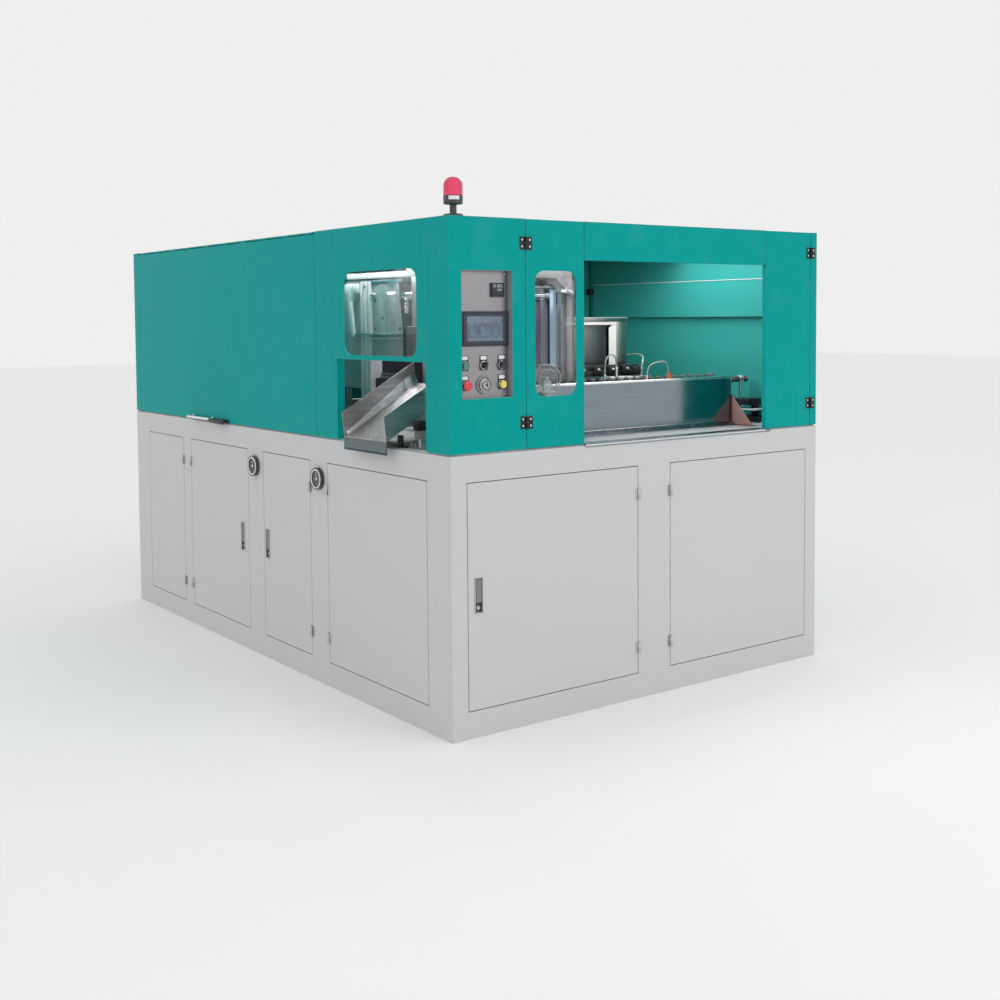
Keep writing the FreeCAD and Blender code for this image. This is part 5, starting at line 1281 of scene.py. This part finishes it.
# ---------------------------------------------------------------- right wall fittings
# A pivot post with a ribbed gaiter, black rails and a pale strip run along the right wall where the
# right-hand door closes. A white strip along the wall stiffener's top edge is a painted highlight, and a
# black catch sits on the post.
POST_X, POST_Y, WALL_FACE = 0.962, -1.2, 1.012
piece("gaiter_post", bright_steel, "polished_steel",
    (add_turned, (POST_X, POST_Y, 1.185), UP, [(0, 0), (0, 0.0065), (0.11, 0.0065), (0.11, 0)], 20),
    (add_turned, (POST_X, POST_Y, 1.182), UP,
     [(0, 0), (0, 0.013), (0.008, 0.013), (0.01, 0.009), (0.01, 0)], 20))
row("gaiter_folds", shape_of((add_ring, (0, 0, 0), (1, 0, 0), 0.004, 0.0145, 0.006, 0.0018, 20)), 11,
    (0.888, -1.2, 1.306), (0.0108, 0.0, 0.0), black_moulding)
piece("gaiter_core", white_label, "black_plastic",
    (add_turned, (0.884, -1.2, 1.306), (1, 0, 0), [(0, 0), (0, 0.0105), (0.126, 0.0105), (0.126, 0)], 20),
    (add_box, (0.948, -1.212, 1.292), (0.976, -1.188, 1.322), 0.004))
piece("right_wall_rails", black_paint, "black_metal",
    (add_box, (0.925, -1.36, DECK_TOP), (WALL_FACE, -1.335, 1.125), 0.002),
    (add_box, (0.915, -1.29, 1.182), (WALL_FACE, -1.175, 1.214), 0.003),
    (add_box, (0.93, -1.34, DECK_TOP), (WALL_FACE, -1.1, 1.13), 0.003),
    *((add_box, (0.96, along, 1.13), (0.99, along + 0.03, 1.183), 0.003) for along in (-1.3, -1.18)))
piece("right_wall_strips", white_enamel, "alloy",
    (add_box, (0.9, -1.345, 1.16), (WALL_FACE, -1.15, 1.166), 0.0015),
    (add_box, (0.915, -1.4, DECK_TOP), (WALL_FACE, -1.37, 1.106), 0.0015))
# white strip along the stiffener's top edge: a painted highlight where the edge catches the light
piece("stiffener_edge_seal", white_enamel, "alloy",
    (add_pipe, [(1.0165, -1.512, 1.7955), (1.0165, -0.046, 1.7955)], 0.002, 8))
piece("post_catch", satin_black, "black_metal",
    (add_box, (0.985, -0.05, 1.742), (1.016, -0.02, 1.774), 0.003),
    (add_turned, (0.99, -0.052, 1.758), TO_FRONT,
     [(-0.004, 0), (-0.004, 0.01), (0.01, 0.01), (0.012, 0.008), (0.012, 0)], 20))

# ---------------------------------------------------------------- inside the base
# Behind the left front door a painted back plate carries the control gear on rails between cable
# ducts, and an air receiver stands on saddles behind the long side's doors.
GEAR_FACE = -1.201
piece("gear_plate", frame_grey, "frame_steel", (add_box, (-0.9, -1.2, 0.22), (-0.16, -1.197, 0.94), 0.001))
piece("cable_ducts", moulded("duct_grey", (0.33, 0.34, 0.35), 0.45), "dark_plastic",
    *((add_box, (-0.88, -1.24, foot - 0.015), (-0.18, GEAR_FACE, foot + 0.02), 0.002)
     for foot in (0.24, 0.46, 0.68, 0.9)))
row("contactors",
    shape_of((add_box, (-0.021, -0.06, 0.0), (0.021, 0.0, 0.075), 0.003, 1),
     (add_box, (-0.015, -0.072, 0.018), (0.015, -0.058, 0.058), 0.002, 1)), 12, (-0.8, GEAR_FACE, 0.54),
    (0.05, 0.0, 0.0), black_moulding)
row("terminals", shape_of((add_box, (-0.0035, -0.042, 0.0), (0.0035, 0.0, 0.05), 0.001, 1)), 64,
    (-0.84, GEAR_FACE, 0.33), (0.01, 0.0, 0.0), moulded("terminal_green", (0.1, 0.28, 0.2), 0.4))
row("breakers", shape_of((add_box, (-0.0085, -0.055, 0.0), (0.0085, 0.0, 0.08), 0.002, 1)), 20,
    (-0.82, GEAR_FACE, 0.76), (0.0185, 0.0, 0.0), white_label)
piece("air_receiver", painted("receiver_blue", (0.035, 0.085, 0.16), rough=0.35, dust=0.2), "frame_steel",
    (add_turned, (-0.62, -0.9, 0.46), (0, 1, 0),
     [(0, 0), (0.015, 0.1), (0.05, 0.17), (0.09, 0.19), (1.36, 0.19), (1.4, 0.17), (1.435, 0.1), (1.45, 0)],
     48))
piece("receiver_saddles", black_paint, "black_metal",
    *((add_box, (-0.78, along, 0.085), (-0.46, along + 0.05, 0.3), 0.003) for along in (-0.6, 0.24)))

# ---------------------------------------------------------------- louvres and panel screws
# Pressed louvres let heat out of the base at the back, beside the ringed service ports. The cabin's
# rear panel is held by rows of bright screws.
finish_nodes(zinc, "service_ports")
louvre = bmesh.new()
LOUVRE_LONG, LOUVRE_PITCH = 0.3, 0.034
base_low, base_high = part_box("lower_plain_panels")
add_prism(louvre, [(0, 0, 0), (0, 0.009, 0.0), (0, 0.009, 0.003), (0, 0, 0.02)], (LOUVRE_LONG, 0, 0), 0)
for name, across in (("rear_left", -0.75), ("rear_middle", -0.15)):
    row(f"louvres_{name}", louvre.copy(), 11, (across, base_high[1], 0.55), (0.0, 0.0, LOUVRE_PITCH),
        grey_paint)
louvre.free()
panel_screw = screw_head(0.005, 0.0022)
rear_low, rear_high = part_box("upper_rear_panel")
heads("rear_panel_screws",
    [((x, rear_high[1], z), (0, 1, 0)) for x in (-1.03, -0.52, 0.0, 0.52, 1.03)
     for z in (rear_low[2] + 0.02, rear_high[2] - 0.02)], panel_screw, bright_steel)
ports_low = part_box("service_ports")[0]
piece("service_port_rings", black_moulding, "black_plastic",
    *((add_ring, (x, ports_low[1] + 0.0005, 0.3), (0, 1, 0), 0.015, 0.022, 0.006, 0.001, 28)
     for x in (0.8, 0.67, 0.54, 0.41)))
